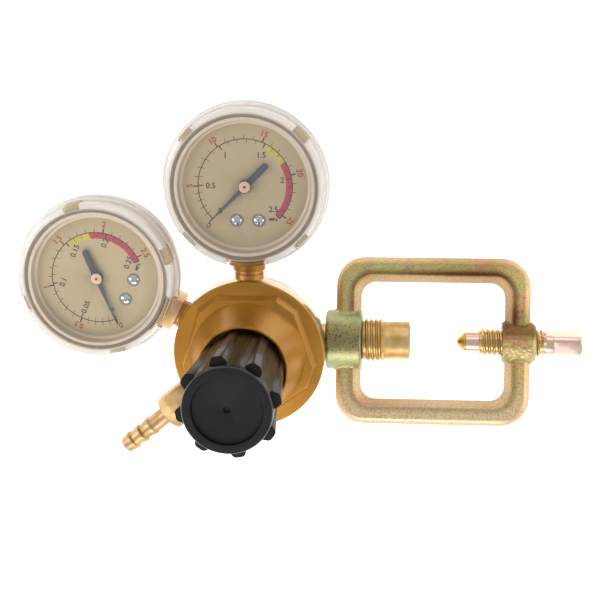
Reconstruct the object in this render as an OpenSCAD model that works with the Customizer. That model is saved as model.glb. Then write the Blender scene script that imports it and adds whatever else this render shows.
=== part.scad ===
// Gas cylinder pressure regulator with a yoke clamp and two gauges.
// Z is the axis of the knob, X the axis of the inlet. The rear cap's face lies at z = 0.

/* [Body] */
// Height of the bonnet's front face above the rear cap's face
front_h = 41.2; // [40.4:0.2:44]
// Diameter of the rim and of the bonnet's flange
rim_d = 61.5; // [60:0.5:64]
// Height of the rim, bonnet flange included
rim_h = 8.8; // [7.5:0.1:9.5]
// Diameter of the barrel behind the rim
barrel_d = 46; // [44:0.5:50]
// Height of the inlet's axis above the rear cap's face
inlet_h = 18; // [17:0.25:19]
// Depth of the port axes below the bonnet's front face
port_drop = 8.2; // [7.8:0.1:8.6]
// Diameter of the gauge port bosses
boss_d = 11.6; // [11:0.1:12.4]
// Diameter of the low-pressure chamber
chamber_d = 36; // [33:0.5:38]
// Depth of the low-pressure chamber under the diaphragm
chamber_depth = 6.9; // [6.4:0.1:7.2]
// Diameter of the inlet boss
inlet_boss_d = 18; // [16:0.5:20]

/* [Rear cap] */
// Diameter of the rear cap
cap_d = 44; // [42:0.5:46]
// Thickness of the rear cap
cap_t = 5; // [4.5:0.1:5.5]

/* [Bonnet] */
// Thickness of the bonnet's flange
flange_t = 1.2; // [1:0.1:1.6]
// Length of thread that holds the bonnet in the body
bonnet_thread = 3.4; // [3:0.1:4]
// Distance from the axis to a flat of the five-sided step, at its foot
penta_foot = 25.2; // [24.6:0.1:26]
// Height of the five-sided step
penta_h = 3.4; // [3:0.1:4]
// Height of the lip round the knob above the front face
lip_h = 19.5; // [18.5:0.1:20.5]
// Diameter of the mouth that the knob enters
mouth_d = 34.4; // [34.4:0.1:35.4]
// Height of the neck's end above the front face
neck_h = 33; // [32:0.5:34]
// Diameter of the neck inside the knob
neck_d = 26.4; // [26:0.1:26.6]

/* [Knob] */
// Height of the knob's face above the bonnet's front face
knob_face_h = 64.1; // [62:0.1:68]
// Diameter of the knob's face
knob_face_d = 32.8; // [31:0.1:33.4]
// Diameter over the ribs near the face
rib_d = 39.6; // [38:0.1:41]
// Diameter over the ribs at the open end
rib_foot_d = 32.6; // [32.2:0.1:32.8]
// Number of ribs
ribs = 8; // [6:1:9]
// Diameter of the dished part of the face
dish_d = 26.4; // [24:0.2:28]
// Depth of the dish
dish_depth = 1.4; // [0.8:0.1:2]
// Travel of the knob from fully out to fully in
knob_travel = 7.5; // [6:0.1:7.8]

/* [Spring] */
// Wire diameter of the adjusting spring
wire_d = 2.6; // [2:0.1:2.8]
// Mean diameter of the adjusting spring
coil_d = 19; // [18.6:0.1:19.2]
// Number of turns of the adjusting spring
coil_turns = 5; // [4:0.5:5]
// Diameter of the adjusting screw's thread
screw_d = 11.8; // [11:0.1:12]

/* [Inlet] */
// Diameter of the nipple's shank
shank_d = 13; // [12:0.1:13.4]
// Diameter of the nipple's thread
nipple_thread_d = 18.2; // [17.6:0.1:20]
// Pitch of the nipple's thread
nipple_pitch = 2; // [1.5:0.1:2.2]
// Diameter of the nipple's plain collar
collar_d = 15.6; // [14.6:0.1:16.4]
// Length of the nipple's plain collar
collar_len = 10.2; // [8:0.2:12]

/* [Yoke] */
// Distance from the knob's axis to the near face of the yoke's boss
yoke_start = 30.1; // [29.6:0.1:31]
// Distance from the knob's axis to the frame's near side
frame_start = 34.3; // [34:0.1:35]
// Outside length of the frame
frame_len = 80.2; // [76:0.2:90]
// Outside width of the frame
frame_w = 69.4; // [64:0.2:72]
// Depth of the frame's bars
bar_depth = 11; // [10:0.2:12]
// Width of a bar at its parting line
bar_w = 10.6; // [9.6:0.1:11.4]
// Width of a bar's flat front
bar_front_w = 7.6; // [7:0.1:8]
// Turn of the yoke about the inlet's axis
yoke_turn = -15.8; // [-20:0.1:20]
// Diameter of the near boss
near_boss_d = 24.8; // [23:0.1:26]
// Diameter of the far boss
far_boss_d = 16.8; // [16:0.1:18.4]

/* [Yoke screw] */
// Diameter of the yoke screw's thread
clamp_d = 11.4; // [11:0.1:12]
// Pitch of the yoke screw's thread
clamp_pitch = 2; // [1.75:0.05:2]
// Diameter of the plain end
pilot_d = 8.6; // [8:0.1:9]
// Distance from the knob's axis to the point
point_start = 84.6; // [82:0.1:90]
// Length of the screw's head outside its thread
head_len = 16; // [14:0.2:20]
// Width across the flats of the square on the head
square_w = 9.2; // [8.6:0.1:9.4]

/* [Outlet] */
// Direction of the outlet, counted from the inlet
outlet_angle = 219.2; // [214:0.2:226]
// Width across the flats of the union nut
nut_w = 14; // [13:0.1:15]
// Diameter of the hose tail's ridges
barb_d = 8.1; // [7.6:0.1:9]
// Distance from the knob's axis to the hose tail's end
tail_reach = 69.5; // [68:0.1:72]

/* [Gauges] */
// Direction of the high-pressure gauge, counted from the inlet
high_angle = 90; // [86:0.5:94]
// Direction of the low-pressure gauge, counted from the inlet
low_angle = 152.4; // [150:0.2:158]
// Gap between the body's rim and a gauge's case
gauge_gap = 7.65; // [7.1:0.05:9.2]
// How much further out the high-pressure gauge stands
high_out = 1.2; // [0:0.1:1.6]
// Diameter of a gauge's case
case_d = 60; // [59:0.1:60.4]
// Depth of a case behind the axis of its stem
case_back = 12; // [11.6:0.1:13]
// Height of a case's rim above the axis of its stem
case_front = 10.6; // [10.2:0.1:11.4]
// Wall of a case
case_wall = 1; // [0.8:0.1:1.1]
// Overhang of the clear cover's flange round the case
cover_over = 3.2; // [2.9:0.1:3.6]
// Height of the dial above the axis of the stem
dial_h = 7.5; // [7.3:0.1:7.8]
// Width of the square block on the socket
block_w = 13.4; // [12.6:0.1:14]
// Round collar at the foot of the high-pressure gauge's block
foot_collar_d = 13; // [12.6:0.1:13.4]
// Length of that collar
foot_collar_len = 3.5; // [3:0.1:4]
// Swing of a pointer over its whole scale
pointer_swing = 270; // [240:10:270]
// Turn of the low-pressure dial in its case
low_dial_turn = 4; // [-6:0.5:6]

/* [Hidden] */
$fn = 64;

lap = 0.5;        // how far a cutting tool reaches past what it cuts
run_gap = 0.05;   // radial gap of a running fit
face_gap = 0.3;   // gap between faces that turn past each other

// Body levels and radii
rim_r = rim_d / 2;
barrel_r = barrel_d / 2;
port_h = front_h - port_drop;
rim_top = front_h - flange_t;
rim_foot = front_h - rim_h;
diaphragm_t = 1.2;
seat_h = rim_top - bonnet_thread - diaphragm_t;
chamber_h = seat_h - chamber_depth;
chamber_r = chamber_d / 2;
thread_r = rim_r - 3.25;
port_bore_r = 1.5;
passage_r = 1.3;
boss_reach = rim_r + 0.65;
thread_depth = 2.2;   // of the threads that hold the stems in the rim
inlet_boss_r = inlet_boss_d / 2;
inlet_boss_end = yoke_start - 2.7;

// Rear cap
cap_r = cap_d / 2;
cap_stub_r = 12;
cap_stub_len = 5.6;
spring_pocket_r = 4.7;
spring_pocket_depth = 3.2;
rear_seal_t = 1;

// Valve
valve_chamber_r = 8;
nozzle_r = 7.5;
nozzle_foot = inlet_h + 2;
orifice_r = 1.6;
pin_r = 0.9;
poppet_r = 4.2;
seat_t = 1.5;
stud_r = 2.5;
seat_top = nozzle_foot - 0.25;
poppet_len = 5.2;
poppet_foot = seat_top - seat_t - poppet_len;
nozzle_hex_w = 15;
nozzle_hex_h = 2.6;
stud_nut_w = 9;
stud_nut_t = 1.5;
stud_foot = seat_h - 2;
hex_over_flats = 2 / sqrt(3);

// Bonnet
penta_lean = 1.5;
penta_top_r = penta_foot - penta_lean;
penta_corner = 27.6;
lip_r = mouth_d / 2 + 0.9;
bell_curve = 1.35;
mouth_floor = front_h + 4;
neck_r = neck_d / 2;
neck_top = front_h + neck_h;
spring_bore_r = (coil_d + wire_d) / 2 + 0.4;
neck_thread_h = neck_top - 8;
pocket_r = 14;

// Adjusting spring and its button
plate_h = rim_top - bonnet_thread;
plate_t = 2.2;
spring_foot = plate_h + plate_t;
pilot_fit_r = (coil_d - wire_d) / 2 - 0.3;
wave_end = chamber_r - 0.6;   // the diaphragm's ring-shaped wave
wave_w = 4.2;
wave_h = 0.7;
wave_side = 1.2;
button_foot = neck_thread_h - 3.6;
button_t = 2.6;

// Knob
knob_top = front_h + knob_face_h;
knob_foot = front_h + lip_h - 1.5;
rib_top = knob_top - 4;
knob_bore_r = neck_r + 0.5;
knob_foot_r = knob_bore_r + 1.9;
knob_head_r = knob_face_d / 2 + 0.5;
rib_foot_w = 5.6;
rib_crest_w = 4.4;
rib_turn = 11;
ceiling_h = knob_top - 6.4;
knob_boss_r = 8.5;
knob_boss_foot = neck_top + knob_travel + 2;
screw_top = knob_top - 5.3;

// Inlet
shank_r = shank_d / 2;
near_bore_r = shank_r + run_gap;
near_boss_len = 15;
yoke_boss_end = yoke_start + near_boss_len;
nipple_thread_start = yoke_boss_end + face_gap;
nipple_thread_len = 9.2;
collar_start = nipple_thread_start + nipple_thread_len;
collar_end = collar_start + collar_len;
nipple_bore_r = 3;
filter_r = 4.4;
filter_len = 7;
washer_r = 6.2;
washer_t = 1.7;
washer_proud = 0.2;
filter_start = collar_end - filter_len - 2.5;
nipple_root = barrel_r - 6;

// Yoke
frame_end = frame_start + frame_len;
frame_mid = frame_start + frame_len / 2;
outer_corner_r = 12;
inner_corner_r = 6;
edge_round = 2.4;
far_bore_r = clamp_d / 2 + run_gap;
far_boss_start = frame_end - bar_w - 0.9;
far_boss_end = frame_end + 2.4;
near_boss_r = near_boss_d / 2;
far_boss_r = far_boss_d / 2;

// Yoke screw
clamp_r = clamp_d / 2;
pilot_r = pilot_d / 2;
point_len = 3.4;
pilot_end = point_start + 9;
clamp_thread_end = far_boss_end + 3;
head_r = clamp_r - 0.3;
thread_cut = 0.8;
point_stem_r = 2;
point_stem_len = 5;

// Outlet, counted outwards from the knob's axis
outlet_stem_r = 5.6;
stem_root = rim_r - thread_depth;
nut_start = boss_reach + face_gap;
nut_end = nut_start + 13.7;
nut_lip = 2.6;
nut_chamfer = 1;
stem_end = nut_end - nut_lip - 3;
tail_collar_r = 5.3;
tail_r = 3.7;
tail_bore_r = 2;
barb_r = barb_d / 2;
barb_root_r = barb_r - 0.8;
barb_count = 3;
barb_len = 5.2;
tail_tip_r = barb_r - 0.75;

// Gauges, each drawn round its own centre with its stem along -Y and its face up
case_r = case_d / 2;
gauge_reach = rim_r + gauge_gap + case_r;
block_depth = 12;
cover_r = case_r + cover_over;
cover_skirt_foot = 1.2;
cover_skirt_top = 6.2;
cover_wall = 1.1;
notch_top = block_depth / 2 + 0.3;
cover_side_r = case_r + 0.5 + cover_wall;
lens_foot = case_front + 0.8;
lens_t = 1.8;
tab_reach = cover_r - 1.6;
tab_foot = 3;
tab_t = 7.2;
slot_top = tab_foot + tab_t + 0.5;
slot_reach = cover_r - 0.9;
tab_w = 6.4;
tab_angles = [43, 137, 223, 317];
dial_r = case_r - case_wall - 0.3;
dial_t = 0.6;
ring_w = 1;
block_gap = 2.2;      // between the rim and the block
block_start = block_gap - gauge_gap - case_r;
block_end = -case_r + 4;
bracket_len = 14;
bracket_gap = 0.4;    // between the bracket and the tube's root
stem_r = 4.7;
stem_end_y = -(gauge_gap + case_r + thread_depth);
post_spots = [[-3.6, -13.7], [5.2, -13.7]];
post_r = 1.7;
post_bore_r = 1;
screw_head_r = 2;
screw_head_t = 1.1;
tube_r = case_r - 8.5;
tube_w = 3;
tube_root_len = 6.6;
tube_foot = -8;
tube_top = 0.2;
tube_start = -76;
tube_sweep = 248;
plate_low = -4;
plate_high = 2.7;
gauge_plate_t = 1.2;
gauge_plate_side = -7.5;
gauge_plate_w = 16;
gauge_plate_len = 32;
pillar_spot = [6.6, 14.2];
pillar_r = 1.3;
spindle_r = 0.7;
pinion_r = 1.8;
sector_r = 10.8;
sector_swing = pointer_swing * pinion_r / sector_r;
mesh_gap = 0.06;
pivot_y = pinion_r + sector_r + mesh_gap;
sector_half = sector_swing / 2 + 5;
sector_foot = -1.2;
sector_t = 1.4;
crank_r = 5.5;
crank_w = 2.2;
link_dir = 126.9;
link_len = 22.5;
link_w = 1.4;
link_t = 0.7;
link_foot = 0.5;
link_eye_r = 1.7;
link_pin_r = 0.6;
link_play = 0.55;     // the crank's pin swings on an arc and the link slides straight
link_stroke = 2 * crank_r * sin(sector_swing / 2);
pointer_foot = dial_h + 1.1;
pointer_t = 0.5;
pointer_len = 21;
tail_len = 12.6;
tail_w = 2.6;
hub_r = 2.55;
hub_h = 1.3;

brass = [0.80, 0.62, 0.27];
lacquer = [0.69, 0.47, 0.14];
zinc = [0.70, 0.63, 0.40];
steel = [0.66, 0.66, 0.66];
black = [0.16, 0.16, 0.16];
beige = [0.74, 0.67, 0.51];

// Turns Z to X
module along_x() {
    rotate([0, 90, 0])
        children();
}

// A rod with thread ridges round it, standing on z = 0
module threaded(r, cut, pitch, len) {
    turns = floor(len / pitch);
    lead = (len - turns * pitch) / 2;
    ridges = [for (i = [0 : turns - 1], s = [0, 1, 2])
        [s == 1 ? r : r - cut, lead + (i + [0.1, 0.5, 0.9][s]) * pitch]];
    rotate_extrude()
        polygon(concat([[0, 0], [r - cut, 0]], ridges, [[r - cut, len], [0, len]]));
}

// A hexagonal prism of width w over its flats
module hexagon(w, h) {
    cylinder(r = w / 2 * hex_over_flats, h = h, $fn = 6);
}

// A rod with a chamfer c at its far end
module chamfered(r, h, c) {
    rotate_extrude()
        polygon([[0, 0], [r, 0], [r, h - c], [r - c, h], [0, h]]);
}

module ring(outer, inner, h) {
    difference() {
        cylinder(r = outer, h = h);
        translate([0, 0, -lap])
            cylinder(r = inner, h = h + 2 * lap);
    }
}

// A helical spring of round wire from z = 0 to z = len, with squared coil ends
module coil(mean_r, wire_r, turns, len, sides, steps) {
    count = turns * steps;
    rise = len - 2 * wire_r;
    centres = [for (i = [0 : count]) let (a = 360 * i / steps)
        [mean_r * cos(a), mean_r * sin(a), wire_r + rise * i / count]];
    points = [for (i = [0 : count], k = [0 : sides - 1])
        let (a = 360 * i / steps, t = 360 * (k + 0.5) / sides)
        [(mean_r + wire_r * cos(t)) * cos(a), (mean_r + wire_r * cos(t)) * sin(a),
         centres[i][2] + wire_r * sin(t)]];
    sleeve = [for (i = [0 : count - 1], k = [0 : sides - 1]) let (n = (k + 1) % sides)
        each [[i * sides + k, i * sides + n, (i + 1) * sides + k],
              [i * sides + n, (i + 1) * sides + n, (i + 1) * sides + k]]];
    caps = [for (k = [1 : sides - 2])
        each [[0, k + 1, k], [count * sides, count * sides + k, count * sides + k + 1]]];
    polyhedron(concat(points), concat(sleeve, caps));
}

// The five-sided outline with cut corners: a flat at distance r, corners at distance c
module pentagon(r, c) {
    intersection() {
        circle(r = r / cos(36), $fn = 5);
        rotate(180)
            circle(r = c / cos(36), $fn = 5);
    }
}

// Body

module body() {
    color(lacquer)
    difference() {
        union() {
            rotate_extrude()
                polygon([[0, cap_t], [barrel_r - 1, cap_t], [barrel_r, cap_t + 1],
                    [barrel_r, inlet_h + 1.5], [rim_r - 0.6, rim_foot - 0.6],
                    [rim_r, rim_foot], [rim_r, rim_top], [0, rim_top]]);
            for (port = [[high_angle, high_out], [low_angle, 0], [outlet_angle, 0]])
                rotate([0, 0, port[0]])
                    translate([barrel_r - 3, 0, port_h])
                        along_x()
                            cylinder(r = boss_d / 2, h = boss_reach + port[1] - barrel_r + 3);
            translate([0, 0, inlet_h])
                along_x()
                    chamfered(inlet_boss_r, inlet_boss_end, 1);
        }
        // room for the bonnet
        translate([0, 0, rim_top])
            cylinder(r = rim_r + run_gap, h = rim_h);
        translate([0, 0, seat_h])
            cylinder(r = thread_r, h = rim_h);
        translate([0, 0, chamber_h])
            cylinder(r = chamber_r, h = chamber_depth + lap);
        // valve and rear bores
        translate([0, 0, cap_t - lap])
            cylinder(r = cap_stub_r, h = cap_stub_len + 0.4 + lap);
        translate([0, 0, cap_t - lap])
            cylinder(r = cap_stub_r + 3, h = rear_seal_t + lap);
        translate([0, 0, cap_t])
            cylinder(r = valve_chamber_r, h = nozzle_foot - cap_t);
        translate([0, 0, nozzle_foot - lap])
            cylinder(r = nozzle_r, h = chamber_h);
        // inlet passage and nipple thread
        translate([0, 0, inlet_h])
            along_x()
                cylinder(r = nipple_bore_r, h = nipple_root + lap);
        translate([nipple_root, 0, inlet_h])
            along_x()
                cylinder(r = shank_r, h = inlet_boss_end);
        // gauge stem threads and outlet thread
        for (a = [high_angle, low_angle])
            rotate([0, 0, a])
                translate([gauge_reach + stem_end_y - 0.2, 0, port_h])
                    along_x()
                        cylinder(r = stem_r, h = rim_r);
        rotate([0, 0, outlet_angle])
            translate([stem_root - 0.2, 0, port_h])
                along_x()
                    cylinder(r = outlet_stem_r - 1, h = rim_r);
        for (a = [low_angle, outlet_angle])
            rotate([0, 0, a])
                translate([chamber_r - 1, 0, port_h])
                    along_x()
                        cylinder(r = port_bore_r, h = rim_r - chamber_r);
        // slanted passage from the high-pressure port to the valve chamber
        rotate([0, 0, high_angle])
            hp_passage();
    }
}

module hp_passage() {
    top_x = gauge_reach + stem_end_y + 0.4;
    low_x = valve_chamber_r - 1;
    low_z = inlet_h - 3;
    run = norm([top_x - low_x, port_h - low_z]);
    translate([low_x, 0, low_z])
        rotate([0, 90 - atan2(port_h - low_z, top_x - low_x), 0])
            cylinder(r = passage_r, h = run);
}

module rear_cap() {
    color(brass)
    difference() {
        union() {
            rotate_extrude()
                polygon([[0, 0], [cap_r - 1, 0], [cap_r, 1], [cap_r, cap_t - 0.6],
                    [cap_r - 0.6, cap_t], [0, cap_t]]);
            translate([0, 0, cap_t])
                cylinder(r = cap_stub_r, h = cap_stub_len);
        }
        translate([0, 0, cap_t + cap_stub_len - spring_pocket_depth])
            cylinder(r = spring_pocket_r, h = cap_t);
        // holes for a pin spanner
        for (a = [0, 180])
            rotate([0, 0, a])
                translate([cap_r - 6, 0, -lap])
                    cylinder(r = 2, h = 2.5 + lap);
    }
}

module rear_seal() {
    color(black)
        translate([0, 0, cap_t])
            ring(cap_stub_r + 2.8, cap_stub_r, rear_seal_t);
}

// Valve

module nozzle() {
    color(brass)
    difference() {
        union() {
            translate([0, 0, nozzle_foot])
                cylinder(r = nozzle_r, h = chamber_h - nozzle_foot);
            translate([0, 0, chamber_h])
                hexagon(nozzle_hex_w, nozzle_hex_h);
            translate([0, 0, seat_top])
                cylinder(r = orifice_r + 0.8, h = chamber_h - seat_top);
        }
        translate([0, 0, seat_top - lap])
            cylinder(r = orifice_r, h = seat_h);
    }
}

module poppet() {
    color(brass)
    difference() {
        union() {
            translate([0, 0, poppet_foot])
                cylinder(r = poppet_r, h = seat_top - seat_t - poppet_foot);
            translate([0, 0, poppet_foot - 2])
                cylinder(r = 2.2, h = 2 + lap);
        }
        translate([0, 0, poppet_foot + 1])
            cylinder(r = pin_r, h = seat_top);
    }
}

module seat_disc() {
    color(black)
        translate([0, 0, seat_top - seat_t])
            ring(poppet_r - 0.4, pin_r, seat_t);
}

module push_pin() {
    color(steel)
        translate([0, 0, poppet_foot + 1])
            cylinder(r = pin_r, h = stud_foot - poppet_foot - 1);
}

module poppet_spring() {
    pocket_floor = cap_t + cap_stub_len - spring_pocket_depth;
    color(steel)
        translate([0, 0, pocket_floor])
            coil(3.4, 0.4, 5, poppet_foot - pocket_floor, 6, 16);
}

// Diaphragm

// Corners of the wave in a face at height h
function wave(h) = [[wave_end - wave_w, h], [wave_end - wave_w + wave_side, h + wave_h],
    [wave_end - wave_side, h + wave_h], [wave_end, h]];

module diaphragm() {
    color(black)
        rotate_extrude()
            polygon(concat([[stud_r, seat_h]], wave(seat_h),
                [[thread_r - 0.2, seat_h], [thread_r - 0.2, plate_h]],
                [for (i = [3 : -1 : 0]) wave(plate_h)[i]], [[stud_r, plate_h]]));
}

module diaphragm_plate() {
    color(brass)
    union() {
        translate([0, 0, plate_h])
            cylinder(r = spring_bore_r + 1.2, h = plate_t);
        translate([0, 0, spring_foot - lap])
            chamfered(pilot_fit_r, 1.8 + lap, 0.5);
        translate([0, 0, stud_foot])
            cylinder(r = stud_r, h = plate_h - stud_foot + lap);
    }
}

module diaphragm_nut() {
    color(steel)
    difference() {
        translate([0, 0, seat_h - stud_nut_t])
            hexagon(stud_nut_w, stud_nut_t);
        translate([0, 0, stud_foot - lap])
            cylinder(r = stud_r, h = 4);
    }
}

// Bonnet

module bonnet() {
    color(lacquer)
    difference() {
        union() {
            translate([0, 0, plate_h])
                cylinder(r = thread_r, h = bonnet_thread + lap);
            rotate_extrude()
                polygon([[0, rim_top], [rim_r, rim_top], [rim_r, front_h - 0.4],
                    [rim_r - 0.4, front_h], [0, front_h]]);
            hull() {
                translate([0, 0, front_h - 0.2])
                    linear_extrude(0.2)
                        rotate(-90)
                            pentagon(penta_foot, penta_corner);
                translate([0, 0, front_h + penta_h - 0.2])
                    linear_extrude(0.2)
                        rotate(-90)
                            pentagon(penta_top_r, penta_corner - penta_lean);
            }
            bell();
            translate([0, 0, front_h])
                chamfered(neck_r, neck_h, 1);
        }
        // diaphragm room, spring bore and screw thread
        translate([0, 0, plate_h - lap])
            cylinder(r = chamber_r, h = 2.4 + lap);
        translate([0, 0, plate_h])
            cylinder(r = pocket_r, h = mouth_floor - plate_h - 2.2);
        translate([0, 0, plate_h])
            cylinder(r = spring_bore_r, h = neck_thread_h - plate_h);
        translate([0, 0, plate_h])
            cylinder(r = screw_d / 2 + run_gap, h = neck_top);
        // mouth round the knob
        translate([0, 0, mouth_floor])
            difference() {
                cylinder(r = mouth_d / 2, h = lip_h);
                translate([0, 0, -lap])
                    cylinder(r = neck_r, h = neck_h + lap);
            }
    }
}

// The bell that rises from the five-sided step to the lip
module bell() {
    foot = front_h + penta_h - 0.2;
    rise = front_h + lip_h - foot;
    start = penta_top_r - 0.3;
    steps = 10;
    rotate_extrude()
        polygon(concat([[0, foot]],
            [for (i = [0 : steps]) let (t = i / steps)
                [lip_r + (start - lip_r) * pow(1 - t, bell_curve), foot + rise * t]],
            [[0, foot + rise]]));
}

// Adjusting spring, button and screw

module adjusting_spring() {
    color(steel)
        translate([0, 0, spring_foot])
            coil(coil_d / 2, wire_d / 2, coil_turns, button_foot - spring_foot, 8, 24);
}

module spring_button() {
    color(steel)
    union() {
        translate([0, 0, button_foot])
            cylinder(r = spring_bore_r - 0.3, h = button_t);
        translate([0, 0, button_foot - 1.4])
            cylinder(r = pilot_fit_r, h = 1.4 + lap);
    }
}

module adjusting_screw() {
    foot = button_foot + button_t;
    color(steel)
    union() {
        translate([0, 0, foot])
            cylinder(r1 = 3, r2 = screw_d / 2 - thread_cut, h = 2.5);
        translate([0, 0, foot + 2.5])
            threaded(screw_d / 2, thread_cut, 1.5, knob_boss_foot - foot - 2.5);
        translate([0, 0, knob_boss_foot])
            cylinder(r = screw_d / 2, h = screw_top - knob_boss_foot);
    }
}

// Knob

module knob() {
    color(black)
    difference() {
        union() {
            rotate_extrude()
                polygon([[0, knob_foot], [knob_foot_r, knob_foot], [knob_head_r, rib_top],
                    [knob_head_r, knob_top - 1.1], [knob_head_r - 0.15, knob_top - 0.5],
                    [knob_head_r - 0.5, knob_top], [0, knob_top]]);
            // ribs that widen and lean out towards the face, with flat ends
            translate([0, 0, knob_foot])
                linear_extrude(rib_top - knob_foot, scale = rib_d / rib_foot_d)
                    for (i = [0 : ribs - 1])
                        rotate(rib_turn + 360 / ribs * i)
                            rib();
        }
        translate([0, 0, knob_foot - lap])
            cylinder(r = knob_bore_r, h = knob_boss_foot - knob_foot + lap);
        difference() {
            translate([0, 0, knob_boss_foot - lap])
                cylinder(r = knob_bore_r, h = ceiling_h - knob_boss_foot + lap);
            cylinder(r = knob_boss_r, h = knob_top);
        }
        translate([0, 0, knob_boss_foot - lap])
            cylinder(r = screw_d / 2, h = screw_top - knob_boss_foot + lap);
        // dish and dimple
        translate([0, 0, knob_top - dish_depth])
            cylinder(r1 = dish_d / 2 - 0.3, r2 = dish_d / 2 + 0.3, h = dish_depth + lap);
        translate([0, 0, knob_top - dish_depth - 0.8])
            cylinder(r = 1.4, h = 1 + lap);
    }
}

// Section of one rib at the knob's open end
module rib() {
    corner = rib_foot_w / 4;
    offset(r = corner, $fn = 24)
        polygon([[knob_bore_r, -rib_foot_w / 2 + corner],
            [rib_foot_d / 2 - corner, -rib_crest_w / 2 + corner],
            [rib_foot_d / 2 - corner, rib_crest_w / 2 - corner],
            [knob_bore_r, rib_foot_w / 2 - corner]]);
}

// Inlet

module inlet_nipple() {
    len = collar_end - nipple_root;
    color(brass)
    translate([0, 0, inlet_h])
    difference() {
        union() {
            translate([nipple_root, 0, 0])
                along_x()
                    cylinder(r = shank_r, h = nipple_thread_start - nipple_root);
            translate([nipple_thread_start, 0, 0])
                along_x()
                    threaded(nipple_thread_d / 2, 1.1, nipple_pitch, nipple_thread_len);
            translate([collar_start, 0, 0])
                along_x()
                    chamfered(collar_d / 2, collar_len, 0.4);
        }
        translate([nipple_root - lap, 0, 0])
            along_x()
                cylinder(r = nipple_bore_r, h = len + 2 * lap);
        translate([filter_start, 0, 0])
            along_x()
                cylinder(r = filter_r, h = collar_end - filter_start + lap);
        translate([collar_end + washer_proud - washer_t, 0, 0])
            along_x()
                cylinder(r = washer_r, h = washer_t);
    }
}

module inlet_filter() {
    color(brass)
        translate([filter_start, 0, inlet_h])
            along_x()
                chamfered(filter_r, filter_len, 0.5);
}

module inlet_washer() {
    color(black)
        translate([collar_end + washer_proud - washer_t, 0, inlet_h])
            along_x()
                ring(washer_r, filter_r - 0.6, washer_t);
}

// Yoke

module rounded_plate(l, w, r, t) {
    linear_extrude(t, center = true)
        union() {
            square([l, w - 2 * r], center = true);
            square([l - 2 * r, w], center = true);
            for (x = [-1, 1], y = [-1, 1])
                translate([x * (l / 2 - r), y * (w / 2 - r)])
                    circle(r = r, $fn = 32);
        }
}

// Everything of the frame is drawn flat and then turned about the inlet's axis
module on_yoke() {
    translate([0, 0, inlet_h])
        rotate([yoke_turn, 0, 0])
            children();
}

module yoke() {
    slope = bar_w - bar_front_w;
    skin = 0.2;
    color(zinc)
    on_yoke()
    difference() {
        union() {
            translate([frame_mid, 0, 0])
            difference() {
                hull() {
                    rounded_plate(frame_len, frame_w, outer_corner_r, bar_depth - 2 * edge_round);
                    rounded_plate(frame_len - edge_round, frame_w - edge_round,
                        outer_corner_r - edge_round / 2, bar_depth - 0.6 * edge_round);
                    rounded_plate(frame_len - 2 * edge_round, frame_w - 2 * edge_round,
                        outer_corner_r - edge_round, bar_depth);
                }
                for (side = [-1, 1])
                    hull() {
                        rounded_plate(frame_len - 2 * bar_w, frame_w - 2 * bar_w,
                            inner_corner_r, skin);
                        translate([0, 0, side * (bar_depth / 2 + skin / 2)])
                            rounded_plate(frame_len - 2 * bar_w + 2 * slope,
                                frame_w - 2 * bar_w + 2 * slope, inner_corner_r + slope / 2, skin);
                    }
            }
            translate([yoke_start, 0, 0])
                along_x()
                    near_boss();
            translate([far_boss_start, 0, 0])
                along_x()
                    chamfered(far_boss_r, far_boss_end - far_boss_start, 1.2);
        }
        translate([yoke_start - lap, 0, 0])
            along_x()
                cylinder(r = near_bore_r, h = near_boss_len + 2 * lap);
        translate([far_boss_start - lap, 0, 0])
            along_x()
                cylinder(r = far_bore_r, h = far_boss_end - far_boss_start + 2 * lap);
    }
}

module near_boss() {
    rotate_extrude()
        polygon([[0, 0], [near_boss_r - 0.8, 0], [near_boss_r, 0.8],
            [near_boss_r, near_boss_len - 0.6], [near_boss_r - 0.6, near_boss_len],
            [0, near_boss_len]]);
}

// Yoke screw

module yoke_screw() {
    tip = point_start + point_len;
    color(zinc)
    on_yoke()
    difference() {
        union() {
            translate([tip, 0, 0])
                along_x()
                    cylinder(r = pilot_r, h = pilot_end - tip);
            translate([pilot_end, 0, 0])
                along_x()
                    threaded(clamp_r, thread_cut, clamp_pitch, clamp_thread_end - pilot_end);
            translate([clamp_thread_end, 0, 0])
                along_x()
                    intersection() {
                        rotate_extrude()
                            polygon([[0, 0], [clamp_r - thread_cut, 0], [head_r, 1.2],
                                [head_r, head_len - 1], [head_r - 1, head_len], [0, head_len]]);
                        union() {
                            cylinder(r = head_r, h = 4);
                            rotate([0, 0, 45])
                                translate([-square_w / 2, -square_w / 2, 0])
                                    cube([square_w, square_w, head_len]);
                        }
                    }
        }
        translate([tip - lap, 0, 0])
            along_x()
                cylinder(r = point_stem_r + run_gap, h = point_stem_len + face_gap + lap);
    }
}

module yoke_point() {
    shoulder = point_start + point_len - 0.02;
    color(brass)
    on_yoke()
    union() {
        translate([point_start, 0, 0])
            along_x()
                rotate_extrude()
                    polygon([[0, 0], [1, 0], [1.6, 0.4], [3.9, point_len - 0.6],
                        [3.9, shoulder - point_start], [0, shoulder - point_start]]);
        translate([shoulder - lap, 0, 0])
            along_x()
                cylinder(r = point_stem_r, h = point_stem_len + lap);
    }
}

// Outlet

module on_outlet(x) {
    rotate([0, 0, outlet_angle])
        translate([x, 0, port_h])
            along_x()
                children();
}

module outlet_stem() {
    color(brass)
    difference() {
        union() {
            on_outlet(stem_root)
                cylinder(r = outlet_stem_r - 1, h = boss_reach - stem_root + lap);
            on_outlet(boss_reach)
                threaded(outlet_stem_r, 0.7, 1.5, stem_end - boss_reach);
        }
        on_outlet(stem_root - lap)
            cylinder(r = tail_bore_r, h = stem_end - stem_root + 2 * lap);
    }
}

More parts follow.
